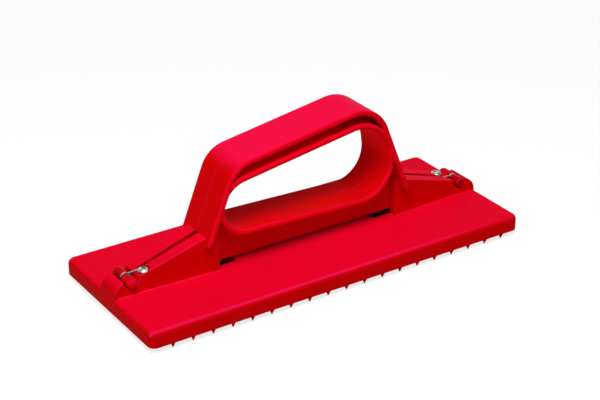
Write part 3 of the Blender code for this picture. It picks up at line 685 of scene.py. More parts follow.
@dataclass(frozen=True)
class MouldedPlastic:
    """Semi-matte moulded plastic: fine grain, flow mottling, hairline scuffs, and a painted light-and-shade
    tone (pale) on upward faces.

    It has a painted highlight on rounded long edges, weaker towards the right end where far_highlight is
    below 1.
    Upward faces take the painted top-light tone only above the height pale_above, which rises by pale_rise
    along X.
    """

    name: str
    # deep is the side tone; pale is the painted light-and-shade tone of upward faces.
    deep: Colour
    pale: Colour
    # Painted highlight colour on rounded long edges.
    edge_highlight: Colour = (0.82, 0.0080, 0.080)
    roughness: float = 0.50
    specular: float = 0.012
    # Share of the painted edge highlight left at the right end.
    far_highlight: float = 1.0
    pale_slope: float = 0.45
    pale_above: float = -1.0
    pale_rise: float = 0.0
    pale_fade: float = 0.003
    tones: HandleTones | None = None
    tint: Colour = (1.0, 0.10, 0.30)
    index: float = 1.49
    grain_scale: float = 1500.0
    grain_depth: float = 0.000006
    mottle_scale: float = 38.0
    mottle_band: Point = (0.30, 0.70)
    mottle_shade: float = 0.93
    streak_scale: float = 120.0
    streak_stretch: Point3 = (0.25, 2.2, 1.0)
    streak_band: Point = (0.675, 0.70)
    patch_scale: float = 26.0
    patch_band: Point = (0.52, 0.66)
    scuff_strength: float = 0.22
    scuff_gain: Point = (1.1, 0.015)
    scuff_depth: float = 0.000008
    edge_start: Point = (0.10, 0.48)
    edge_finish: Point = (0.52, 0.86)
    edge_above: Point = (0.0, 0.35)
    edge_run: Point = (0.0, 0.115)
    rough_spread: Point = (-0.03, 0.04)

    def build(self) -> Material:
        """Wire the plastic's colour, grain, scuffs and roughness.

        Returns:
            The material.
        """
        board = Board(self.name)
        mottle = board.ranged(board.noise(self.mottle_scale, detail=4.0, rough=0.6), self.mottle_band)
        streak = board.noise(self.streak_scale, detail=6.0, rough=0.72, stretch=self.streak_stretch)
        patch = board.ranged(board.noise(self.patch_scale), self.patch_band)
        scuff = board.product(board.ranged(streak, self.streak_band), patch)
        worn = board.ranged(scuff, RISING, (0.0, self.scuff_strength))
        body = self.body(board)
        shade = board.add("ShaderNodeHueSaturation", {"Value": self.mottle_shade, "Color": body})
        gain, lift = self.scuff_gain
        bright = tuple(min(1.0, gain * part + lift) for part in self.pale)
        colour = board.blend(worn, board.blend(mottle, shade.outputs["Color"], body), bright)
        normal = board.bump(board.noise(self.grain_scale), self.grain_depth)
        normal = board.bump(scuff, self.scuff_depth, normal)
        if self.tones is not None:
            seam = board.mask((Probe.ASIDE, self.tones.seam_width, (self.tones.seam_tone, 0.0)))
            colour = board.blend(seam, colour, self.pale)
            ridge = board.mask((Probe.ASIDE, self.tones.seam_ridge, FALLING))
            normal = board.bump(ridge, self.tones.seam_height, normal)
        spread = (self.roughness + self.rough_spread[0], self.roughness + self.rough_spread[1])
        rough = board.ranged(mottle, RISING, spread)
        inputs = {
            "Base Color": colour,
            "Roughness": board.math("ADD", rough, worn),
            "Normal": normal,
            "Specular IOR Level": self.specular,
            "Specular Tint": (*self.tint, 1.0),
            "IOR": self.index,
        }
        board.feed(board.shader, inputs)
        return board.material

    def body(self, board: Board) -> Socket:
        """Mix the plastic's colour with its painted light, without mottling and scuffs: painted top light on
        upward faces, painted highlights on long edges and rims, and painted fill light in the handle's shaded
        gaps.

        Args:
            board: The tree.

        Returns:
            The colour's socket.
        """
        height = board.add(
            "ShaderNodeVectorMath",
            {0: board.sources["Object"], 1: (-self.pale_rise, 0.0, 1.0)},
            operation="DOT_PRODUCT",
        ).outputs["Value"]
        above = (self.pale_above, self.pale_above + self.pale_fade)
        # Painted top light: upward faces take the pale tone, only above the sloping height.
        upward = board.mask((Probe.FACING_UP, (self.pale_slope, 1.0), RISING))
        body = board.blend(board.product(upward, board.ranged(height, above)), self.deep, self.pale)
        if self.tones is not None:
            low = board.ranged(height, above, FALLING)
            # Painted fill light in the gap under the strap and on the ring's upper right wall.
            body = board.blend(self.tones.fill_light_mask(board, low), body, self.tones.painted_fill)
        # Painted highlight on rounded long edges.
        body = board.blend(self.highlight_edges(board), body, self.edge_highlight)
        if self.tones is not None:
            # Painted highlight on the handle's rim faces.
            body = board.blend(self.tones.rim_highlight_mask(board), body, self.tones.rim)
        return body

    def highlight_edges(self, board: Board) -> Socket:
        """Find the rounded long edges that carry a painted highlight, weaker towards the right end.

        Args:
            board: The tree.

        Returns:
            A socket with 1 on these edges and 0 on flat faces.
        """
        return board.mask(
            (Probe.FACING_ASIDE, self.edge_start, RISING),
            (Probe.FACING_ASIDE, self.edge_finish, FALLING),
            (Probe.FACING_UP, self.edge_above, RISING),
            (Probe.OUT, self.edge_run, (1.0, self.far_highlight)),
        )


@dataclass(frozen=True)
class Steel:
    """Sheet or turned steel with fine rolling lines and small bright and dull patches."""

    name: str
    colour: Colour
    shade: Colour
    roughness: float
    metallic: float = 1.0
    specular: float = 0.5
    lines: Point3 = (0.15, 1.0, 1.0)
    patch_scale: float = 420.0
    patch_band: Point = (0.35, 0.65)
    line_scale: float = 2600.0
    line_band: Point = (0.3, 0.7)
    line_depth: float = 0.000004
    rough_spread: Point = (-0.05, 0.10)

    def build(self) -> Material:
        """Wire the steel's patches and rolling lines.

        Returns:
            The material.
        """
        board = Board(self.name)
        patches = board.ranged(board.noise(self.patch_scale, detail=3.0, rough=0.6), self.patch_band)
        rolled = board.noise(self.line_scale, rough=0.5, stretch=self.lines)
        spread = (self.roughness + self.rough_spread[0], self.roughness + self.rough_spread[1])
        inputs = {
            "Base Color": board.blend(patches, self.shade, self.colour),
            "Roughness": board.ranged(rolled, self.line_band, spread),
            "Normal": board.bump(rolled, self.line_depth),
            "Metallic": self.metallic,
            "Specular IOR Level": self.specular,
        }
        board.feed(board.shader, inputs)
        return board.material


@dataclass(frozen=True)
class PaleFloor:
    """White studio paper that shows white to the camera, keeps a soft shadow and throws little light back.

    Further from the middle than the fade, the camera sees it plain white.
    """

    paper: Point = (0.93, 0.95)
    paper_scale: float = 900.0
    paper_band: Point = (0.3, 0.7)
    bounce: float = 0.55
    shadow_share: float = 0.25
    glow: float = 1.07
    fade: Point = (0.35, 0.90)

    def build(self) -> Material:
        """Wire the paper's diffuse and glowing parts.

        Returns:
            The material.
        """
        board = Board("pale_floor")
        board.tree.nodes.remove(board.shader)
        tone = board.ranged(board.noise(self.paper_scale), self.paper_band, self.paper)
        seen = board.seen_directly()
        diffuse = board.add("ShaderNodeBsdfDiffuse", {"Color": board.blend(seen, (self.bounce,) * 3, tone)})
        glow = board.add("ShaderNodeEmission", {"Strength": self.glow})
        away = board.add("ShaderNodeVectorMath", {0: board.sources["Object"]}, operation="LENGTH")
        plain = board.ranged(away.outputs["Value"], self.fade, (1.0 - self.shadow_share, 1.0))
        inputs = {0: board.product(seen, plain), 1: diffuse.outputs[0], 2: glow.outputs[0]}
        mix = board.add("ShaderNodeMixShader", inputs)
        board.feed(board.tree.nodes["Material Output"], {"Surface": mix.outputs[0]})
        return board.material


@dataclass(frozen=True)
class Finishes:
    """Every finish of the holder, built once."""

    body: Material
    handle: Material
    # knob and cap are lit and shaded copies of one grip plastic, with painted light in their colours.
    knob: Material
    cap: Material
    blade: Material
    screw: Material
    claw: Material

    @classmethod
    def mixed(cls) -> "Finishes":
        """Build every finish with its colours.

        Returns:
            The finishes.
        """
        # Handle: pale is painted top light above a sloping height; edge_highlight and rim are painted
        # highlights; painted_fill is painted fill light.
        handle = MouldedPlastic(
            "red_handle_plastic",
            deep=(0.72, 0.0006, 0.0025),
            pale=(0.92, 0.0040, 0.056),
            edge_highlight=(0.88, 0.0035, 0.040),
            pale_slope=0.62,
            pale_above=0.0735,
            pale_rise=0.162,
            tones=HandleTones(rim=(0.86, 0.0008, 0.0100), painted_fill=(1.0, 0.0006, 0.0025)),
        )
        # Lit and shaded copies of one grip plastic: the knob's side tone is painted lighter and the cap's
        # darker; pale is their painted tone for upward faces and edge_highlight a painted highlight.
        grips = [
            MouldedPlastic(
                name, deep, (0.53, 0.0008, 0.0050), (0.84, 0.0030, 0.036), roughness=0.34, specular=0.025
            ).build()
            for name, deep in (
                ("red_grip_plastic_painted_lit", (0.78, 0.0010, 0.0130)),
                ("red_grip_plastic_painted_shade", (0.42, 0.0005, 0.0020)),
            )
        ]
        # Plate: pale is painted top light on upward faces; the painted edge highlight fades towards the right
        # end.
        plate = MouldedPlastic(
            "red_plate_plastic", (0.69, 0.0006, 0.0020), (0.82, 0.0010, 0.022), far_highlight=0.15
        )
        blade = Steel("blade_steel", (0.36, 0.34, 0.36), (0.18, 0.17, 0.19), 0.35)
        screw = Steel("screw_steel", (0.62, 0.68, 0.60), (0.16, 0.21, 0.15), 0.16, lines=(1.0, 1.0, 1.0))
        claw = Steel("black_steel", (0.006, 0.006, 0.007), (0.003, 0.003, 0.004), 0.60, 0.0, 0.05)
        return cls(plate.build(), handle.build(), *grips, *(steel.build() for steel in (blade, screw, claw)))


@dataclass
class HousingSizes:
    """The sloping wedge at one end, in the right end's place."""

    side: Side
    top: float = 0.0301
    top_out: float = 0.0640
    slope: float = 0.312
    nose_half: float = 0.0079
    taper_out: float = 0.0980
    taper: float = 0.055
    nose_radius: float = 0.0015
    root: float = 0.0060
    hump_out: float = 0.1090
    hump_radius: float = 0.0080
    cradle_radius: float = 0.0044
    cradle: Point = (0.1064, 0.0170)
    edge: float = 0.0008
    pocket_end: float = 0.0790
    pocket_half: float = 0.0053
    pocket_top: float = 0.0220
    slot_half: float = 0.0011
    slot_taper: float = 0.022
    slot_floor: float = 0.0112
    slot_lip: float = 0.0004
    well_half: float = 0.0014
    well_end: float = 0.0705
    well_floor: float = 0.0040
    window_half: float = 0.0058
    window_outer: float = 0.0615
    fillet: float = 0.0009
    fillet_start: float = 0.0020
    fillet_stop: Point = (0.0045, 0.0015)
    fillet_rest: float = 0.15
    fillet_sink: float = 0.0006
    fillet_bite: float = 0.0005

    @property
    def inner(self) -> float:
        """Return how far out the housing's inner end stands."""
        return self.side.pick(0.0554, 0.0584)

    @property
    def window_inner(self) -> float:
        """Return how far out the window's inner end lies."""
        return self.side.pick(0.0430, 0.0463)

    def top_at(self, out: float) -> float:
        """Return the height of the sloping top."""
        return self.top - self.slope * (out - self.top_out)

    def half_at(self, out: float) -> float:
        """Return half the housing's width."""
        return self.nose_half + self.taper * max(self.taper_out - out, 0.0)


@dataclass
class BasePlate:
    """The moulded plate with both housings, cut for the levers, and its field of spikes."""

    length: float = 0.2350
    width: float = 0.0950
    thickness: float = 0.0092
    corner_radius: float = 0.0042
    corner_steps: int = 14
    rim_radius: float = 0.0030
    rim_steps: int = 10
    foot_radius: float = 0.0003
    foot_steps: int = 2
    bore_radius: float = 0.00358
    seat_radius: float = 0.0034
    seat_chamfer: Point = (0.0001, 0.0003)
    shank_hole: float = 0.00175
    shank_depth: float = 0.0088
    flare_angles: tuple[float, ...] = (0.0, 0.52, 1.05, QUARTER)
    overshoot: float = 0.0020
    spike_pitch: Point = (0.0117, 0.0114)
    spike_margin: Point = (0.0090, 0.0016)
    spike_shift: float = 0.0010
    spike_radius: float = 0.0016
    spike_tip: float = 0.00018
    spike_sides: int = 14
    spike_rings: int = 4
    spike_root: float = 0.1
    spike_clear: float = 1.5
    housings: dict[Side, HousingSizes] = field(default_factory=lambda: {s: HousingSizes(s) for s in Side})

    def plate(self) -> Mesh:
        """Make the bare plate with round corners and a soft rim.

        Returns:
            A closed mesh.
        """
        half = (self.length / 2.0, self.width / 2.0)
        mesh = Bench.box("base_shell", (-half[0], -half[1], 0.0), (half[0], half[1], self.thickness))
        middle, top, ground = self.thickness / 2.0, self.thickness * 0.99, self.thickness * 0.01
        rounds = (
            (lambda low, high: low < middle < high, self.corner_radius, self.corner_steps),
            (lambda low, high: low > top, self.rim_radius, self.rim_steps),
            (lambda low, high: high < ground, self.foot_radius, self.foot_steps),
        )
        with edited(mesh) as work:
            for chosen, radius, segments in rounds:
                edges = [e for e in work.edges if chosen(*sorted(v.co.z for v in e.verts))]
                bmesh.ops.bevel(
                    work, geom=edges, offset=radius, segments=segments, profile=0.5, affect="EDGES"
                )
        return Bench.rework(mesh)

    def housing_outline(self, size: HousingSizes) -> Outline:
        """Draw the side view of a housing: slope, nose, cradle and end hump.

        Args:
            size: The housing.

        Returns:
            The outline's points.
        """
        wall = size.cradle[0] - size.cradle_radius
        hump = (size.hump_out, self.thickness)
        lip = circles_meet(size.cradle, size.cradle_radius, hump, size.hump_radius)
        points = [(size.inner, size.root), (size.inner, size.top_at(size.inner))]
        points += corner(points[-1], (wall, size.top_at(wall)), (wall, size.cradle[1]), size.nose_radius)
        points += arc(size.cradle, size.cradle_radius, math.pi, TAU + direction(size.cradle, lip))
        points += arc(hump, size.hump_radius, direction(hump, lip), 0.0)[1:]
        points.append((size.hump_out + size.hump_radius, size.root))
        return points

    def housing(self, size: HousingSizes) -> Mesh:
        """Make a solid housing that widens towards the middle of the holder.

        Args:
            size: The housing.

        Returns:
            The mesh, in place.
        """
        mesh = Bench.slab("housing", [self.housing_outline(size)], size.nose_half, size.edge, SOFT_STEPS)
        with edited(mesh) as work:
            everything = list(work.verts) + list(work.edges) + list(work.faces)
            across = {"plane_co": (size.taper_out, 0.0, 0.0), "plane_no": (1.0, 0.0, 0.0)}
            bmesh.ops.bisect_plane(work, geom=everything, dist=1e-7, **across)
            for vertex in work.verts:
                vertex.co.y += math.copysign(size.half_at(vertex.co.x) - size.nose_half, vertex.co.y)
        return put(mesh, size.side.turn)

    def foot_fillet(self, size: HousingSizes, sign: float) -> Mesh:
        """Return the small hollow rounding where one long side of a housing meets the plate.

        Args:
            size: The housing.
            sign: The side's sign along Y.

        Returns:
            A prism to join.
        """
        end = size.hump_out + size.hump_radius
        places = [size.inner, size.inner + size.fillet_start, size.taper_out]
        rows = [(out, size.fillet) for out in (*places, end - size.fillet_stop[0])]
        rows.append((end - size.fillet_stop[1], size.fillet * size.fillet_rest))
        sections = []
        for out, radius in rows:
            wall, top, under = size.half_at(out), self.thickness + radius, self.thickness - size.fillet_sink
            hollow = arc((wall + radius, top), radius, 1.5 * math.pi, math.pi, COARSE_STEP)
            bite = wall - size.fillet_bite
            points = [(wall + radius, under)] + hollow + [(bite, top), (bite, under)]
            sections.append([(out, sign * aside, height) for aside, height in points])
        return put(Bench.prism("foot_fillet", sections), size.side.turn)

    def slot(self, size: HousingSizes) -> Mesh:
        """Make the cutter of the blade's slot, with softly flared lips.

        Args:
            size: The housing.

        Returns:
            The mesh, in place.
        """
        sections = []
        lip = size.slot_lip
        for out in (size.inner - self.overshoot, size.taper_out, size.cradle[0]):
            half = size.slot_half + size.slot_taper * max(size.taper_out - out, 0.0)
            top = size.top_at(out)
            flare = [
                (half + lip - lip * math.cos(angle), top - lip + lip * math.sin(angle))
                for angle in self.flare_angles
            ]
            wide = [(half, size.slot_floor)] + flare + [(half + lip, top + self.overshoot)]
            outline = wide + [(-aside, height) for aside, height in reversed(wide)]
            sections.append([(out, aside, height) for aside, height in outline])
        return put(Bench.prism("slot", sections), size.side.turn)

    def hollows(self, size: HousingSizes) -> list[Mesh]:
        """Make the cutters of one housing.

        Args:
            size: The housing.

        Returns:
            The meshes, in place.
        """
        shot = self.overshoot
        start = size.inner - shot
        well_start, well_top = start + shot / 2.0, size.slot_floor + shot
        through = self.thickness + shot / 2.0
        boxes = {
            "pocket": ((start, size.pocket_end), size.pocket_half, (self.thickness, size.pocket_top)),
            "well": ((well_start, size.well_end), size.well_half, (size.well_floor, well_top)),
            "window": ((size.window_inner, size.window_outer), size.window_half, (-shot, through)),
        }
        pocket, well, window = (
            put(Bench.box(name, (inner, -half, low), (outer, half, high)), size.side.turn)
            for name, ((inner, outer), half, (low, high)) in boxes.items()
        )
        bore = put(Bench.bore(self.bore_radius, size.half_at(size.inner) + shot, PIN_FACETS), size.side.pivot)
        return [pocket, self.slot(size), well, window, bore, self.screw_hole(size)]

    def screw_hole(self, size: HousingSizes) -> Mesh:
        """Make the cutter of a catch screw's seat and hole.

        Args:
            size: The housing.

        Returns:
            The mesh, in place.
        """
        out, aside, seat = SCREW_PLACE
        top = size.top_at(out) + 2.0 * self.overshoot
        bottom = seat - self.shank_depth
        profile = [
            (0.0, top),
            (self.seat_radius, top),
            (self.seat_radius, seat - self.seat_chamfer[0]),
            (self.shank_hole, seat - self.seat_chamfer[1]),
            (self.shank_hole, bottom),
            (0.0, bottom),
        ]
        place = size.side.turn @ Matrix.Translation((out, aside, 0.0))
        return put(Bench.lathe("screw_hole", profile, HOLE_FACETS), place)

    def shell(self) -> Mesh:
        """Make the plate with its housings, joined first and then cut.

        Returns:
            A closed mesh.
        """
        solids: list[Mesh] = []
        cutters: list[Mesh] = []
        for size in self.housings.values():
            solids += [self.housing(size), self.foot_fillet(size, -1.0), self.foot_fillet(size, 1.0)]
            cutters += self.hollows(size)
        return Bench.work_on(self.plate(), solids, cutters)

    def spikes(self, material: Material) -> Mesh:
        """Make all the gripping spikes, set out by a node tree.

        Args:
            material: The spikes' finish.

        Returns:
            One plain mesh.
        """
        item = linked("pad_spikes", bpy.data.meshes.new("pad_spikes"))
        SpikeField(self).grow_on(item, material)
        return Bench.rework(Bench.settle(item, "pad_spikes"))

    def build(self, finishes: Finishes) -> None:
        """Make the shell and the spikes."""
        Piece("base_shell", "base", "body", "base_plate").make(self.shell(), finishes.body)
        Piece("pad_spikes", "base", "body", "base_plate").make(self.spikes(finishes.body), finishes.body)


class SpikeField(Wiring):
    """A Geometry Nodes tree that sets spikes on a grid and leaves the windows free."""

    def __init__(self, plate: BasePlate) -> None:
        """Start the tree.

        Args:
            plate: The plate that carries the spikes.
        """
        super().__init__(bpy.data.node_groups.new("spike_field", "GeometryNodeTree"))
        self.plate = plate
        self.values: dict[str, float] = {}
        self.inlet = self.add("NodeGroupInput")

    def named(self, name: str, value: float, kind: str = "NodeSocketFloat") -> Socket:
        """Add a named input with its value.

        Args:
            name: The input's name.
            value: The value that the modifier is given.
            kind: The socket's type.

        Returns:
            The socket inside the tree.
        """
        socket = self.tree.interface.new_socket(name=name, in_out="INPUT", socket_type=kind)
        self.values[socket.identifier] = value
        return self.inlet.outputs[name]

    def over_window(self) -> Socket:
        """Find the grid points over one of the two windows.

        Returns:
            A socket with 1 over a window and 0 elsewhere.
        """
        plate = self.plate
        place = self.parts(self.add("GeometryNodeInputPosition").outputs[0])
        along = self.math("ADD", place["X"], plate.spike_shift)
        margin = self.named("Window Margin", plate.spike_clear * plate.spike_radius)
        aside = self.math("ABSOLUTE", place["Y"])
        reach = self.math("ADD", margin, plate.housings[Side.LEFT].window_half)
        near = self.math("LESS_THAN", aside, reach)
        found: list[Socket] = []
        for side, size in plate.housings.items():
            out = self.math("MULTIPLY", along, side.pick(-1.0, 1.0))
            past = self.math("GREATER_THAN", self.math("ADD", out, margin), size.window_inner)
            before = self.math("LESS_THAN", self.math("SUBTRACT", out, margin), size.window_outer)
            found.append(self.product(past, before, near))
        return self.math("MAXIMUM", *found)

    def grow_on(self, item: Item, material: Material) -> None:
        """Finish the tree and put it on an object.

        Args:
            item: The object that carries the modifier.
            material: The spikes' finish.
        """
        plate = self.plate
        grid: dict[str | int, object] = {}
        spans = zip("XY", (plate.length, plate.width), plate.spike_margin, plate.spike_pitch)
        for axis, span, margin, pitch in spans:
            count = int((span - 2.0 * margin) / pitch + ROUNDING_GUARD) + 1
            grid["Size " + axis] = self.named("Run " + axis, (count - 1) * pitch)
            grid["Vertices " + axis] = self.named("Count " + axis, count, "NodeSocketInt")
        points = self.add("GeometryNodeMeshGrid", grid).outputs["Mesh"]
        window = {"Geometry": points, "Selection": self.over_window()}
        free = self.add("GeometryNodeDeleteGeometry", window, domain="POINT")
        let_in = plate.spike_root * SPIKE_HEIGHT
        base = plate.spike_radius + (plate.spike_radius - plate.spike_tip) / SPIKE_HEIGHT * let_in
        cone = {
            "Vertices": plate.spike_sides,
            "Side Segments": plate.spike_rings,
            "Radius Bottom": self.named("Spike Tip Radius", plate.spike_tip),
            "Radius Top": self.named("Spike Base Radius", base),
            "Depth": self.named("Spike Length", SPIKE_HEIGHT + let_in),
        }
        spike = {
            "Geometry": self.add("GeometryNodeMeshCone", cone).outputs["Mesh"],
            "Translation": (plate.spike_shift, 0.0, -SPIKE_HEIGHT),
        }
        stand = {
            "Points": free.outputs["Geometry"],
            "Instance": self.add("GeometryNodeTransform", spike).outputs["Geometry"],
        }
        spikes = self.add("GeometryNodeInstanceOnPoints", stand).outputs["Instances"]
        real = self.add("GeometryNodeRealizeInstances", {"Geometry": spikes}).outputs["Geometry"]
        dress = self.add("GeometryNodeSetMaterial", {"Geometry": real, "Material": material})
        self.tree.interface.new_socket(name="Geometry", in_out="OUTPUT", socket_type="NodeSocketGeometry")
        self.add("NodeGroupOutput", {"Geometry": dress.outputs["Geometry"]})
        modifier = item.modifiers.new("spike_field", "NODES")
        modifier.node_group = self.tree
        for identifier, value in self.values.items():
            modifier[identifier] = value


@dataclass
class Handle:
    """The strap and the finger ring on their thin web, with a forked tongue in each housing."""

    left_circle: Circle = ((-0.0394, 0.0445), 0.0140)
    lower_circle: Circle = ((0.0335, 0.0456), 0.0176)
    upper_circle: Circle = ((0.0302, 0.0493), 0.0204)
    ring_thickness: float = 0.0032
    ring_half: float = 0.0141
    ring_edge: float = 0.0015
    strap_thickness: float = 0.0033
    strap_half: float = 0.01425
    strap_edge: float = 0.0014
    strap_rise: float = 0.07675
    foot_out: Point = (0.0651, 0.0658)
    foot_height: float = 0.0258
    foot_round: float = 0.0010
    lean: float = math.radians(21.5)
    bends: Point = (0.0175, 0.0220)
    web_half: float = 0.0050
    web_bottom: float = 0.0121
    web_run: float = 0.0010
    neck_gap: float = 0.0006
    fit_gap: float = 0.0003
    seat_share: float = 0.15
    fork_half: float = 0.0008
    tongue_bore: float = 0.00375

    @staticmethod
    def tangent(first: Circle, second: Circle) -> float:
        """Return the outward direction of the side that joins two circles of an anticlockwise hull."""
        (start, start_radius), (finish, finish_radius) = first, second
        return direction(start, finish) - math.acos((start_radius - finish_radius) / math.dist(start, finish))

    def hole(self, grow: float) -> Outline:
        """Draw the finger hole.

        Args:
            grow: How far it is grown outwards.

        Returns:
            The outline's points.
        """
        circles = [self.lower_circle, self.upper_circle, self.left_circle]
        points: Outline = []
        for index, (centre, radius) in enumerate(circles):
            start = self.tangent(circles[index - 1], circles[index])
            finish = self.tangent(circles[index], circles[(index + 1) % 3])
            points += arc(centre, radius + grow, start, start + (finish - start) % TAU)
        return points

    def run(self, inset: float, extension: float = 0.0) -> Outline:
        """Return the strap's run from foot to foot.

        Args:
            inset: How far inside the outer face it lies.
            extension: How far the feet are carried down.

        Returns:
            The run's points, left foot first.
        """
        top = (self.tangent(self.upper_circle, self.left_circle) - QUARTER) % math.pi
        shift = extension * math.tan(self.lean) - inset / math.cos(self.lean)
        left = (-self.foot_out[0] - shift, self.foot_height - extension)
        right = (self.foot_out[1] + shift, self.foot_height - extension)
        crown = (0.0, self.strap_rise - inset / math.cos(top))
        left_tip = crossing(left, QUARTER - self.lean, crown, top)
        right_tip = crossing(right, QUARTER + self.lean, crown, top)
        radii = (0.0, self.bends[0] - inset, self.bends[1] - inset, 0.0)
        return rounded([(*tip, radius) for tip, radius in zip((left, left_tip, right_tip, right), radii)])

    def strap_outline(self) -> Outline:
        """Draw the strap with rounded feet.

        Returns:
            The outline's points.
        """
        outer = self.run(0.0)
        loop = outer + list(reversed(self.run(self.strap_thickness)))
        feet = (0, len(outer) - 1, len(outer), len(loop) - 1)
        return rounded([(*point, self.foot_round * (index in feet)) for index, point in enumerate(loop)])

    def tongue(self, size: HousingSizes) -> Outline:
        """Draw the web's edge from the strap's foot down and round the tongue in a housing.

        Args:
            size: The housing.

        Returns:
            The edge's points.
        """
        neck, start = size.inner - self.neck_gap, self.foot_height - 2.0 * self.web_run
        end, top = size.pocket_end - self.fit_gap, size.pocket_top - self.fit_gap
        return [(neck, start), (neck, top), (end, top), (end, self.web_bottom)]

    def seat_cutter(self, size: HousingSizes) -> Mesh:
        """Make the cutter that seats the handle over a housing's inner end.

        Args:
            size: The housing.

        Returns:
            The mesh, in place.
        """
        start, low = size.inner - self.fit_gap, size.pocket_top + self.fit_gap
        reach = size.side.pick(*self.foot_out) + 2.0 * self.strap_thickness
        spare = self.seat_share * self.fit_gap
        top = [(out, size.top_at(out) + spare) for out in (start, reach)]
        corners = [(start, low), *top, (reach, low)]
        sections = [[(x, sign * (size.half_at(x) + spare), z) for x, z in corners] for sign in (-1.0, 1.0)]
        return put(Bench.prism("seat", sections), size.side.turn)

    def mesh(self, plate: BasePlate) -> Mesh:
        """Make the whole handle as one joined mesh.

        Args:
            plate: The plate that it stands on.

        Returns:
            A closed mesh.
        """
        right = self.tongue(plate.housings[Side.RIGHT])
        left = [(-x, z) for x, z in reversed(self.tongue(plate.housings[Side.LEFT]))]
        web_loop = self.run(self.strap_thickness / 2.0, self.web_run) + right + left
        web = Bench.slab("handle_frame", [web_loop, self.hole(self.ring_thickness / 2.0)], self.web_half)
        strap = Bench.slab("strap", [self.strap_outline()], self.strap_half, self.strap_edge, SOFT_STEPS)
        rims = [self.hole(self.ring_thickness), self.hole(0.0)]
        loop = Bench.slab("ring", rims, self.ring_half, self.ring_edge, SOFT_STEPS)
        shot = plate.overshoot
        cutters: list[Mesh] = []
        for size in plate.housings.values():
            low = (size.inner - shot, -self.fork_half, self.web_bottom - shot)
            high = (size.pocket_end + shot, self.fork_half, size.pocket_top + self.fit_gap)
            fork = put(Bench.box("fork", low, high), size.side.turn)
            bore = put(Bench.bore(self.tongue_bore, self.web_half + shot, HOLE_FACETS), size.side.pivot)
            cutters += [self.seat_cutter(size), fork, bore]
        return Bench.work_on(web, [strap, loop], cutters)

    def build(self, plate: BasePlate, finishes: Finishes) -> None:
        """Make the handle."""
        Piece("handle_frame", "base", "body", "handle").make(self.mesh(plate), finishes.handle)


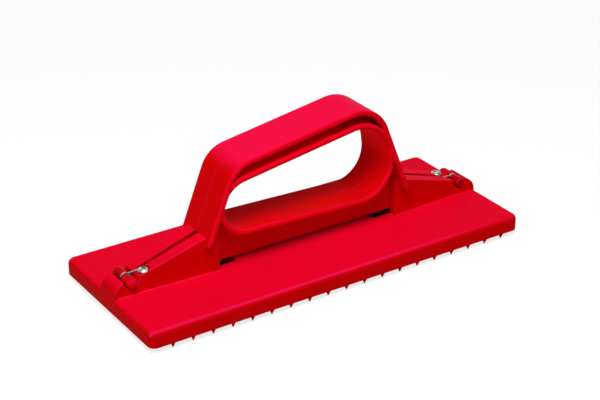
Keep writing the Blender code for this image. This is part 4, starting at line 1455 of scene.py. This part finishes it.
@dataclass
class Lever:
    """One lever: a steel blade with a claw plate at its inner end and a two-part thumb grip outside.

    Its outlines are drawn round the pivot. Angles are in degrees.
    """

    side: Side
    bore_gap: float = 0.00025
    fit_gap: float = 0.0003
    blade_thickness: float = 0.0010
    blade_edge: float = 0.00015
    hub_radius: float = 0.0050
    hub_arcs: tuple[Point, Point] = ((80.0, 165.0), (245.0, 290.0))
    head_radius: float = 0.0028
    head_arc: Point = (205.0, 495.0)
    foot_height: float = 0.0028
    foot_set_in: float = 0.0006
    claw_to_pivot: float = 0.0158
    claw_length: float = 0.0092
    claw_half: float = 0.0053
    claw_top: float = 0.0068
    sheet: float = 0.0012
    claw_bend: float = 0.0018
    claw_reach: float = 0.0024
    tooth_height: float = 0.0039
    tooth_spread: float = 0.53
    tooth_drop: float = 0.2
    teeth: int = 4
    gap_reach: float = 0.002
    tab_width: float = 0.0018
    tab_place: float = 0.30
    grip: Point = (0.1064, 0.0159)
    knob_length: float = 0.0106
    cap_length: float = 0.0086
    grip_radius: float = 0.0030
    waist_radius: float = 0.0026
    waist_step: float = 0.0002
    belly_steps: int = 8
    belly_power: float = 0.7
    peg_radius: float = 0.0011
    peg_sink: float = 0.0012
    peg_chamfer: float = 0.0002
    cap_round: float = 0.0013
    lip_round: float = 0.0003

    @property
    def claw_span(self) -> Point:
        """Return the claw plate's inner and outer ends seen from the pivot."""
        return -self.claw_to_pivot - self.claw_length, -self.claw_to_pivot

    @property
    def grip_from_pivot(self) -> Point:
        """Return the grip's centre seen from the pivot."""
        return self.grip[0] - PIVOT[0], self.grip[1] - PIVOT[1]

    @property
    def waist(self) -> float:
        """Return how far from the middle plane a grip half starts."""
        return self.blade_thickness / 2.0 + self.fit_gap

    @property
    def tabs(self) -> Point:
        """Return the middles of the blade's two tabs."""
        inner, outer = self.claw_span
        return inner + self.tab_place * self.claw_length, outer - self.tab_place * self.claw_length

    def blade(self) -> Mesh:
        """Make the blade with its bores and tabs.

        Returns:
            The mesh, in place.
        """
        grip = self.grip_from_pivot
        inner, outer = self.claw_span
        inner, outer = inner + self.foot_set_in, outer - self.foot_set_in
        seat = self.claw_top + self.fit_gap - PIVOT[1]
        tab_bottom = self.claw_top - self.sheet - PIVOT[1]
        hub = (0.0, 0.0)
        upper, lower = (arc(hub, self.hub_radius, *map(math.radians, span)) for span in self.hub_arcs)
        points = arc(grip, self.head_radius, *map(math.radians, self.head_arc), math.radians(6.0)) + upper
        points += [(outer, seat + self.foot_height), (inner, seat + self.foot_height), (inner, seat)]
        for middle in self.tabs:
            low, high = middle - self.tab_width / 2.0, middle + self.tab_width / 2.0
            points += [(low, seat), (low, tab_bottom), (high, tab_bottom), (high, seat)]
        points += [(outer, seat)] + lower
        bores = ((hub, PIN_RADIUS), (grip, self.peg_radius))
        holes = [arc(centre, radius + self.bore_gap, 0.0, TAU)[:-1] for centre, radius in bores]
        mesh = Bench.slab("blade", [points, *holes], self.blade_thickness / 2.0, self.blade_edge, 1)
        return put(mesh, self.side.pivot)

    def claw(self) -> Mesh:
        """Make the claw plate, a channel with toothed legs.

        Returns:
            The mesh, in place.
        """
        inner, outer = self.claw_span
        top = self.claw_top - PIVOT[1]
        bottom = -self.claw_reach - PIVOT[1]
        left, right, under = inner + self.sheet, outer - self.sheet, top - self.sheet
        bend, inside = self.claw_bend, self.claw_bend - self.sheet
        tips = [(inner, bottom, 0.0), (inner, top, bend), (outer, top, bend), (outer, bottom, 0.0)]
        tips += [(right, bottom, 0.0), (right, under, inside), (left, under, inside), (left, bottom, 0.0)]
        cutters = [self.tooth_gap(index, bottom) for index in range(self.teeth + 1)]
        half = self.tab_width / 2.0 + self.bore_gap
        aside = self.blade_thickness / 2.0 + self.bore_gap
        for middle in self.tabs:
            low = (middle - half, -aside, top - 2.0 * self.sheet)
            cutters.append(Bench.box("tab_hole", low, (middle + half, aside, top + self.sheet)))
        mesh = Bench.slab("claw", [rounded(tips)], self.claw_half)
        return put(Bench.work_on(mesh, [], cutters), self.side.pivot)

    def tooth_gap(self, index: int, tip: float) -> Mesh:
        """Return the wedge between two teeth.

        Args:
            index: The gap's number, counted from the low side.
            tip: The height of the tooth tips seen from the pivot.

        Returns:
            A prism through both legs.
        """
        inner, outer = self.claw_span
        pitch = 2.0 * self.claw_half / self.teeth
        middle = -self.claw_half + index * pitch
        spread = self.tooth_spread * pitch
        low = tip - self.tooth_drop * self.tooth_height
        corners = [(middle, tip + self.tooth_height), (middle - spread, low), (middle + spread, low)]
        ends = (inner - self.gap_reach, outer + self.gap_reach)
        return Bench.prism("tooth_gap", [[(x, y, z) for y, z in corners] for x in ends])

    def lay(self, name: str, profile: Outline, turn: float, shut: bool = False) -> Mesh:
        """Turn a grip half's profile and lay it along Y at the lever's end.

        Args:
            name: The mesh's name.
            profile: Points of (radius, distance from the middle plane).
            turn: The turn about X that points it to its side.
            shut: Whether the profile closes on itself.

        Returns:
            The grip half.
        """
        grip = self.grip_from_pivot
        place = self.side.pivot @ Matrix.Translation((grip[0], 0.0, grip[1])) @ Matrix.Rotation(turn, 4, "X")
        return put(Bench.lathe(name, profile, TURNED_FACETS, shut=shut), place)

    def barrel(self, shoulder: float) -> Outline:
        """Draw the softly bellied outside of a grip half, down to its waist.

        Args:
            shoulder: How far from the middle plane it starts.

        Returns:
            Points of (radius, distance from the middle plane).
        """
        points: Outline = []
        for index in range(self.belly_steps, -1, -1):
            part = index / self.belly_steps
            swell = math.sin(part * math.pi / 2.0) ** self.belly_power
            radius = self.waist_radius + (self.grip_radius - self.waist_radius) * swell
            points.append((radius, self.waist + part * (shoulder - self.waist)))
        return points

    def knob(self) -> Mesh:
        """Make the grip half with the round closed end, and its peg.

        Returns:
            The mesh, in place.
        """
        centre = (0.0, self.knob_length - self.grip_radius)
        profile = arc(centre, self.grip_radius, QUARTER, 0.0, math.radians(8.0))[:-1]
        profile += self.barrel(centre[1])
        end, chamfer = self.peg_sink - self.cap_length, self.peg_chamfer
        profile += [(self.waist_radius - self.waist_step, self.waist), (self.peg_radius, self.waist)]
        profile += [(self.peg_radius, end + chamfer), (self.peg_radius - chamfer, end), (0.0, end)]
        return self.lay("knob", profile, -QUARTER)

    def cap(self) -> Mesh:
        """Make the grip half that the peg runs through, with the rim round its hole.

        Returns:
            The mesh, in place.
        """
        hole = self.peg_radius + self.bore_gap
        shoulder = self.cap_length - self.cap_round
        lip_centre = (hole + self.lip_round, self.cap_length - self.lip_round)
        profile = arc(lip_centre, self.lip_round, math.pi, QUARTER, math.radians(30.0))
        centre = (self.grip_radius - self.cap_round, shoulder)
        profile += arc(centre, self.cap_round, QUARTER, 0.0, math.radians(12.0))[:-1]
        profile += self.barrel(shoulder) + [(hole, self.waist)]
        return self.lay("cap", profile, QUARTER, shut=True)

    def build(self, finishes: Finishes) -> None:
        """Make the lever's four pieces.

        Args:
            finishes: The holder's finishes.
        """
        end, body = self.side.value, "lever_" + self.side.value
        Piece("blade_" + end, body, "steel", "lever_" + end).make(self.blade(), finishes.blade)
        Piece("claw_" + end, body, "dark_steel", "claw_plate_" + end).make(self.claw(), finishes.claw)
        Piece("knob_" + end, body, "grip", "thumb_knob_" + end).make(self.knob(), finishes.knob)
        Piece("cap_" + end, body, "grip", "thumb_cap_" + end).make(self.cap(), finishes.cap)


@dataclass
class Fixings:
    """The pivot pin and the catch screw of one housing."""

    side: Side
    pin_round: float = 0.00020
    pin_shy: float = 0.00006
    head_radius: float = 0.0032
    head_height: float = 0.0021
    head_chamfer: float = 0.0001
    rim_share: float = 0.30
    shank_radius: float = 0.0015
    shank_length: float = 0.0085
    thread_pitch: float = 0.0009
    thread_root: float = 0.75
    thread_rise: float = 0.45
    tip_share: float = 0.3
    recess_depth: float = 0.0014
    recess_over: float = 0.0003
    recess_reach: Point = (0.0011, 0.0022)
    recess_half: Point = (0.000336, 0.000576)
    recess_turn: float = 0.35

    def pin(self, size: HousingSizes) -> Mesh:
        """Make the pin, its ends following the housing's tapered sides.

        Args:
            size: The housing.

        Returns:
            The mesh, in place.
        """
        half = size.half_at(PIVOT[0]) - self.pin_shy
        centre = (PIN_RADIUS - self.pin_round, half - self.pin_round)
        rounding = arc(centre, self.pin_round, QUARTER, 0.0, step=0.5)
        profile = [(0.0, half)] + rounding + [(r, -h) for r, h in reversed(rounding)] + [(0.0, -half)]
        mesh = Bench.lathe("pin", profile, PIN_FACETS, QUARTER)
        for vertex in mesh.vertices:
            if abs(vertex.co.y) > half / 2.0:
                vertex.co.y -= math.copysign(size.taper * vertex.co.x, vertex.co.y)
        return put(mesh, self.side.pivot)

    def screw(self) -> Mesh:
        """Make the screw: a domed head with a cross recess on a ridged shank.

        Returns:
            The mesh, in place.
        """
        rim = self.rim_share * self.head_height
        profile = [
            (self.head_radius * math.cos(a), rim + (self.head_height - rim) * math.sin(a))
            for a in (math.radians(d) for d in range(90, -1, -10))
        ]
        profile += [(self.head_radius - self.head_chamfer, 0.0), (self.shank_radius, 0.0)]
        height = -self.thread_pitch / 2.0
        while height > 2.0 * self.thread_pitch - self.shank_length:
            ridge = (self.shank_radius, height - self.thread_rise * self.thread_pitch)
            profile += [(self.thread_root * self.shank_radius, height), ridge]
            height -= self.thread_pitch
        profile += [(self.tip_share * self.shank_radius, -self.shank_length), (0.0, -self.shank_length)]
        arms = [self.recess_arm(turn) for turn in (self.recess_turn, self.recess_turn + QUARTER)]
        mesh = Bench.work_on(Bench.lathe("screw", profile, TURNED_FACETS), [], arms)
        return put(mesh, self.side.turn @ Matrix.Translation(SCREW_PLACE))

    def recess_arm(self, turn: float) -> Mesh:
        """Make the cutter of one tapered arm of the cross recess.

        Args:
            turn: The arm's turn about the screw's axis, in radians.

        Returns:
            The mesh, round the screw's axis.
        """
        heights = (self.head_height - self.recess_depth, self.head_height + self.recess_over)
        levels = zip(self.recess_reach, self.recess_half, heights)
        sections = [[(-x, -y, z), (x, -y, z), (x, y, z), (-x, y, z)] for x, y, z in levels]
        return put(Bench.prism("recess", sections), Matrix.Rotation(turn, 4, "Z"))

    def build(self, size: HousingSizes, finishes: Finishes) -> None:
        """Make the pin and the screw.

        Args:
            size: The housing that they go into.
            finishes: The holder's finishes.
        """
        end = self.side.value
        Piece("pin_" + end, "base", "grip", "pivot_pin_" + end).make(self.pin(size), finishes.body)
        Piece("screw_" + end, "base", "steel", "catch_screw_" + end).make(self.screw(), finishes.screw)


@dataclass
class Studio:
    """Floor, light, world and camera."""

    azimuth: float = math.radians(-33.249)
    elevation: float = math.radians(26.777)
    camera_place: Point3 = (-0.43313, -0.66283, 0.43366)
    sensor: float = 36.0
    lens: float = 98.15
    floor_size: float = 12.0
    ambient: float = 0.25
    lamp_place: Point3 = (-0.35, -0.44, 1.17)
    lamp_target: Point3 = (0.0, 0.0, 0.02)
    lamp_size: float = 0.6
    lamp_power: float = 13.6

    def floor(self) -> None:
        """Lay a pale floor under the spikes."""
        half = self.floor_size / 2.0
        corners = [(x * half, y * half, 0.0) for x, y in ((-1, -1), (1, -1), (1, 1), (-1, 1))]
        mesh = bpy.data.meshes.new("floor")
        mesh.from_pydata(corners, [], [(0, 1, 2, 3)])
        mesh.materials.append(PaleFloor().build())
        linked("floor", mesh)

    def lamp(self) -> None:
        """Hang one soft square lamp that looks at the holder."""
        data = bpy.data.lights.new("key", "AREA")
        data.shape = "SQUARE"
        data.size = self.lamp_size
        data.energy = self.lamp_power
        item = linked("key", data)
        item.location = self.lamp_place
        back = Vector(self.lamp_place) - Vector(self.lamp_target)
        item.rotation_euler = back.to_track_quat("Z", "Y").to_euler()

    def world(self) -> None:
        """Light the scene evenly and show white where nothing stands."""
        world = bpy.data.worlds.new("studio")
        bpy.context.scene.world = world
        world.use_nodes = True
        board = Wiring(world.node_tree)
        white = {"Color": (1.0, 1.0, 1.0, 1.0)}
        light = board.tree.nodes["Background"]
        board.feed(light, {"Strength": self.ambient, **white})
        shown = board.add("ShaderNodeBackground", white)
        inputs = {0: board.seen_directly(), 1: light.outputs[0], 2: shown.outputs[0]}
        mix = board.add("ShaderNodeMixShader", inputs)
        board.feed(board.tree.nodes["World Output"], {"Surface": mix.outputs[0]})

    def camera(self) -> None:
        """Set the camera at the photograph's viewing angle."""
        data = bpy.data.cameras.new("camera")
        data.sensor_width = self.sensor
        data.lens = self.lens
        item = linked("camera", data)
        level = math.cos(self.elevation)
        back = (math.sin(self.azimuth) * level, -math.cos(self.azimuth) * level, math.sin(self.elevation))
        item.location = self.camera_place
        item.rotation_euler = Vector(back).to_track_quat("Z", "Y").to_euler()
        bpy.context.scene.camera = item

    def build(self) -> None:
        """Set the whole studio up."""
        self.camera()
        self.floor()
        self.world()
        self.lamp()
        bpy.context.scene.view_settings.view_transform = "Standard"


def main() -> None:
    """Build the holder and its studio."""
    logging.basicConfig(level=logging.INFO, format="%(name)s %(message)s")
    finishes = Finishes.mixed()
    plate = BasePlate()
    plate.build(finishes)
    Handle().build(plate, finishes)
    for side in Side:
        Lever(side).build(finishes)
        Fixings(side).build(plate.housings[side], finishes)
    Studio().build()


if __name__ == "__main__":
    main()
